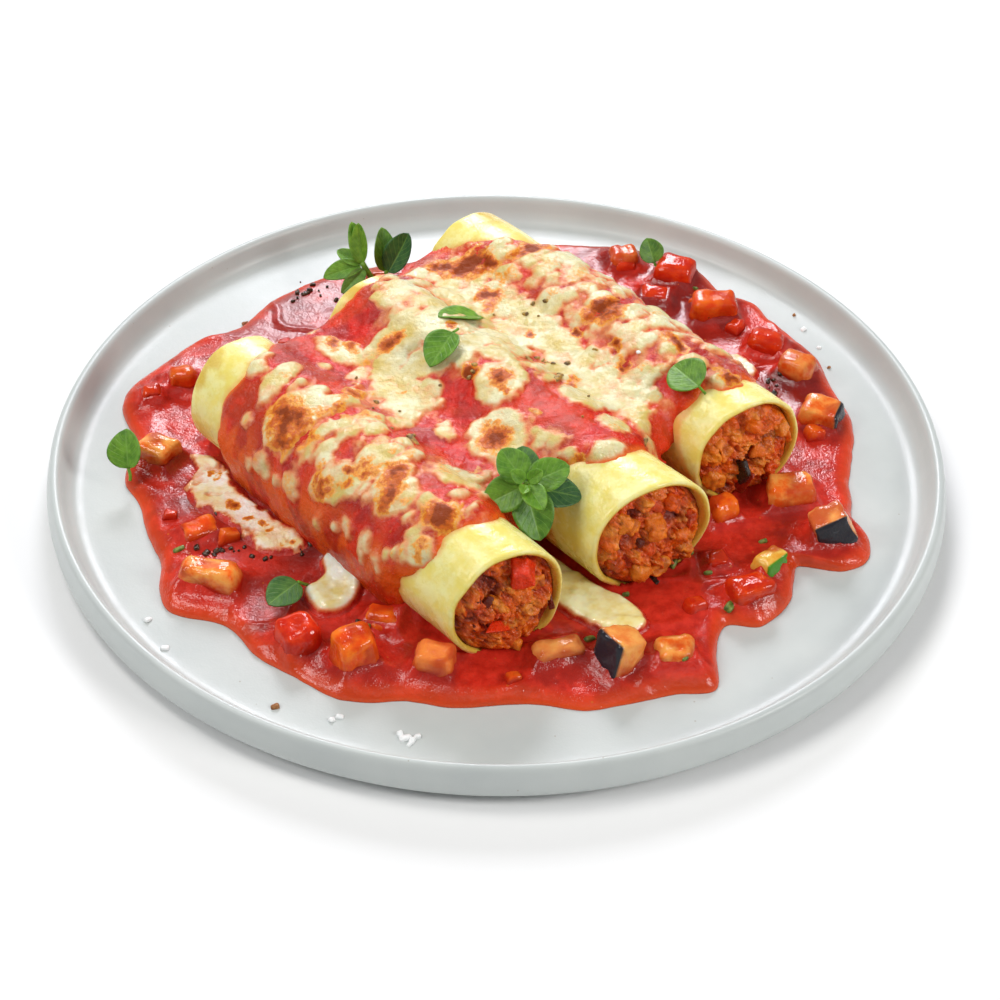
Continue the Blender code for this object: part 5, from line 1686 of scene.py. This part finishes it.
# Bits lying on the pool and the plate: x, y, half length, half width, turn in degrees
POOL_HERBS = (
    (-84.0, -44.0, 2.0, 0.8, 20), (-33.4, -73.0, 2.2, 0.9, -20), (-31.0, -79.0, 1.2, 0.6, 60),
    (24.3, -74.8, 1.9, 0.9, 40), (37.0, -76.4, 1.6, 0.8, -20), (47.9, -84.0, 1.1, 0.6, 30),
    (60.8, -63.0, 1.9, 1.2, 60), (13.8, -83.0, 2.0, 1.0, 20), (51.0, -41.0, 2.4, 0.9, -45),
    (47.0, -47.0, 1.7, 0.8, 60), (56.0, -50.0, 1.3, 0.7, 10), (60.0, 78.6, 1.6, 0.7, -50),
    (64.0, 72.0, 1.2, 0.6, 40), (34.0, -58.0, 1.2, 0.6, 0), (71.6, -36.4, 1.5, 0.7, 20),
)
SALT_ON_PLATE = (
    (-22.6, -106.2, 1.1, 0.8, 120), (-18.4, -106.6, 0.9, 0.7, 10), (-20.2, -109.2, 0.8, 0.6, 50),
    (-21.4, -107.1, 1.6, 1.0, 20), (-19.6, -108.0, 1.0, 0.8, 70), (-37.8, -100.5, 1.0, 0.7, 0),
    (-39.6, -101.6, 0.8, 0.7, 40), (-83.9, -77.5, 1.1, 0.8, 10), (-89.5, -67.4, 0.9, 0.7, 50),
    (92.1, 62.9, 0.9, 0.7, 30), (96.0, 54.0, 0.7, 0.5, 0), (62.7, 90.3, 0.6, 0.5, 30),
)
CRUMBS = (
    (-54.1, -97.4, 1.3, 0.9, 20), (-76.8, 61.0, 1.3, 0.7, 20), (-75.0, 62.4, 0.6, 0.5, 0),
    (98.0, 44.0, 0.5, 0.4, 0), (90.0, 70.0, 0.6, 0.4, 10),
)


def make_flecks(name, places, base_of, made, thickness=0.3, size=0.7):
    """One piece of many small bits, each a few dozen faces, lying where base_of puts it."""
    rng = np.random.default_rng(len(places) + 17)
    shapes = []
    for index, (a, b, long, wide, turn) in enumerate(places):
        base = base_of(a, b)
        half = (size * long, size * wide, thickness + 0.25 * size * wide)
        body, quads, _ = chunk(half, 40 + index, 0.1, 0.2, 0.9, rounding=0.8)
        own = turned_axes(turn, rng.uniform(-25, 25), rng.uniform(-25, 25))
        shapes.append(Shape(body @ own + base + [0, 0, 0.6 * thickness], quads))
    add_piece(name, join(shapes), made)


def on_topping(u, s):
    """The point on the cheese at u along the rolls and s across them."""
    at = np.array([[u]], float), np.array([[s]], float)
    return topping_point(u, s, sauce_top(*at) + cheese_fields(*at)[2])[0, 0]


def on_pool(x, y):
    """The point on the open pool."""
    return np.array([x, y, float(pool_relief(np.array([float(x)]), np.array([float(y)]))[0])])


def on_plate(x, y):
    """The point on the plate's floor."""
    return np.array([x, y, PLATE_FLOOR])


def pepper_places():
    """Each patch's bits, thickest in its middle, from fine dust to a coarse corn."""
    rng = np.random.default_rng(23)
    return [(x + across * rng.normal() * 0.55, y + along * rng.normal() * 0.55,
             *(rng.uniform(0.4, 1.0) ** 1.6 * np.array([1.1, 0.85])), rng.uniform(0, 180))
            for x, y, across, along, count in PEPPER_PATCHES for _ in range(count)]


def make_small_bits():
    """Dried oregano, pepper, chopped herb, salt and crumbs, each kind and place one piece."""
    dark = plain_finish("ground_pepper", (0.015, 0.010, 0.008), (0.10, 0.045, 0.018), 0.9, 0.25)
    herb = plain_finish("chopped_herb", (0.05, 0.11, 0.012), (0.22, 0.28, 0.05), 1.2, 0.4)
    dried = plain_finish("dried_oregano", (0.09, 0.045, 0.01), (0.60, 0.36, 0.07), 1.2, 0.5)
    salt = plain_finish("salt_flakes", (0.86, 0.88, 0.88), (0.95, 0.96, 0.96), 1.0, 0.25)
    crumb = plain_finish("crumbs", (0.22, 0.07, 0.02), (0.45, 0.20, 0.06), 0.9, 0.6)
    make_flecks("dried_oregano_on_topping", TOPPING_FLECKS, on_topping, dried)
    make_flecks("pepper_bits_on_pool", pepper_places(), on_pool, dark, 0.3, 1.0)
    make_flecks("herb_bits_on_pool", POOL_HERBS, on_pool, herb, 0.4, 0.85)
    make_flecks("salt_on_plate", SALT_ON_PLATE, on_plate, salt, 0.35, 1.0)
    make_flecks("crumbs_on_plate", CRUMBS, on_plate, crumb, 0.5, 0.9)
    make_flecks("salt_on_topping", ((20.5, 124.0, 1.0, 0.8, 20),), on_topping, salt, 0.2)


# ------------------------ stage, lights and camera

# name, place in metres, diameter, power, colour
LIGHTS = (
    ("key", (-0.42, 0.16, 1.05), 0.44, 4.2, (1.0, 0.985, 0.96)),
    ("back_panel", (-0.15, 1.15, 0.60), 0.90, 2.8, (0.93, 0.94, 1.0)),
    ("back_window", (-0.02, 1.02, 0.74), 0.42, 7.4, (0.93, 0.94, 1.0)),
    ("left_fill", (-0.85, -0.34, 0.78), 0.45, 4.1, (1.0, 1.0, 0.99)),
    ("front_fill", (0.20, -0.60, 1.10), 0.60, 0.6, (1.0, 1.0, 1.0)),
    ("side_fill", (0.80, -0.36, 0.56), 0.36, 4.6, (1.0, 0.99, 0.97)),
)


def make_stage():
    """A wide pale floor, a dim even sky and six soft round lamps aimed at the plate."""
    bpy.ops.mesh.primitive_plane_add(size=8.0)
    floor = bpy.context.active_object
    floor.name = "studio_floor"
    made, _, shader = finish("studio_floor", 0.9)
    shader.inputs["Base Color"].default_value = rgb(0.90, 0.90, 0.90)
    floor.data.materials.append(made)
    world = bpy.data.worlds.new("studio")
    world.use_nodes = True
    sky = world.node_tree.nodes["Background"]
    sky.inputs["Color"].default_value = rgb(0.95, 0.97, 1.0)
    sky.inputs["Strength"].default_value = 0.20
    bpy.context.scene.world = world
    for name, place, size, power, tint in LIGHTS:
        lamp = bpy.data.lights.new(name, "AREA")
        lamp.shape = "DISK"
        lamp.size = size
        lamp.energy = power
        lamp.color = tint
        thing = bpy.data.objects.new(name, lamp)
        thing.location = place
        thing.rotation_euler = (-Vector(place)).to_track_quat("-Z", "Y").to_euler()
        bpy.context.scene.collection.objects.link(thing)
    bpy.context.scene.view_settings.view_transform = "Standard"
    bpy.context.scene.view_settings.look = "None"


def make_camera():
    """A long lens 0.62 m from the plate, on its front side and 41 degrees above it."""
    lens = bpy.data.cameras.new("camera")
    lens.sensor_width = 36.0
    lens.lens = 78.7
    lens.clip_start = 0.01
    eye = bpy.data.objects.new("camera", lens)
    right = (0.99987, 0.00948, 0.01327)
    up = (-0.01623, 0.65718, 0.75356)
    ahead = (0.00157, 0.75368, -0.65724)
    place = (0.0, -0.47167, 0.40062)
    rows = [(right[k], up[k], -ahead[k], place[k]) for k in range(3)] + [(0, 0, 0, 1)]
    eye.matrix_world = Matrix(rows)
    bpy.context.scene.collection.objects.link(eye)
    bpy.context.scene.camera = eye


make_camera()
make_stage()
make_plate()
make_pool()
make_rolls()
make_blanket()
make_cheese()
make_pool_cheese()
make_dice()
make_oregano()
make_small_bits()
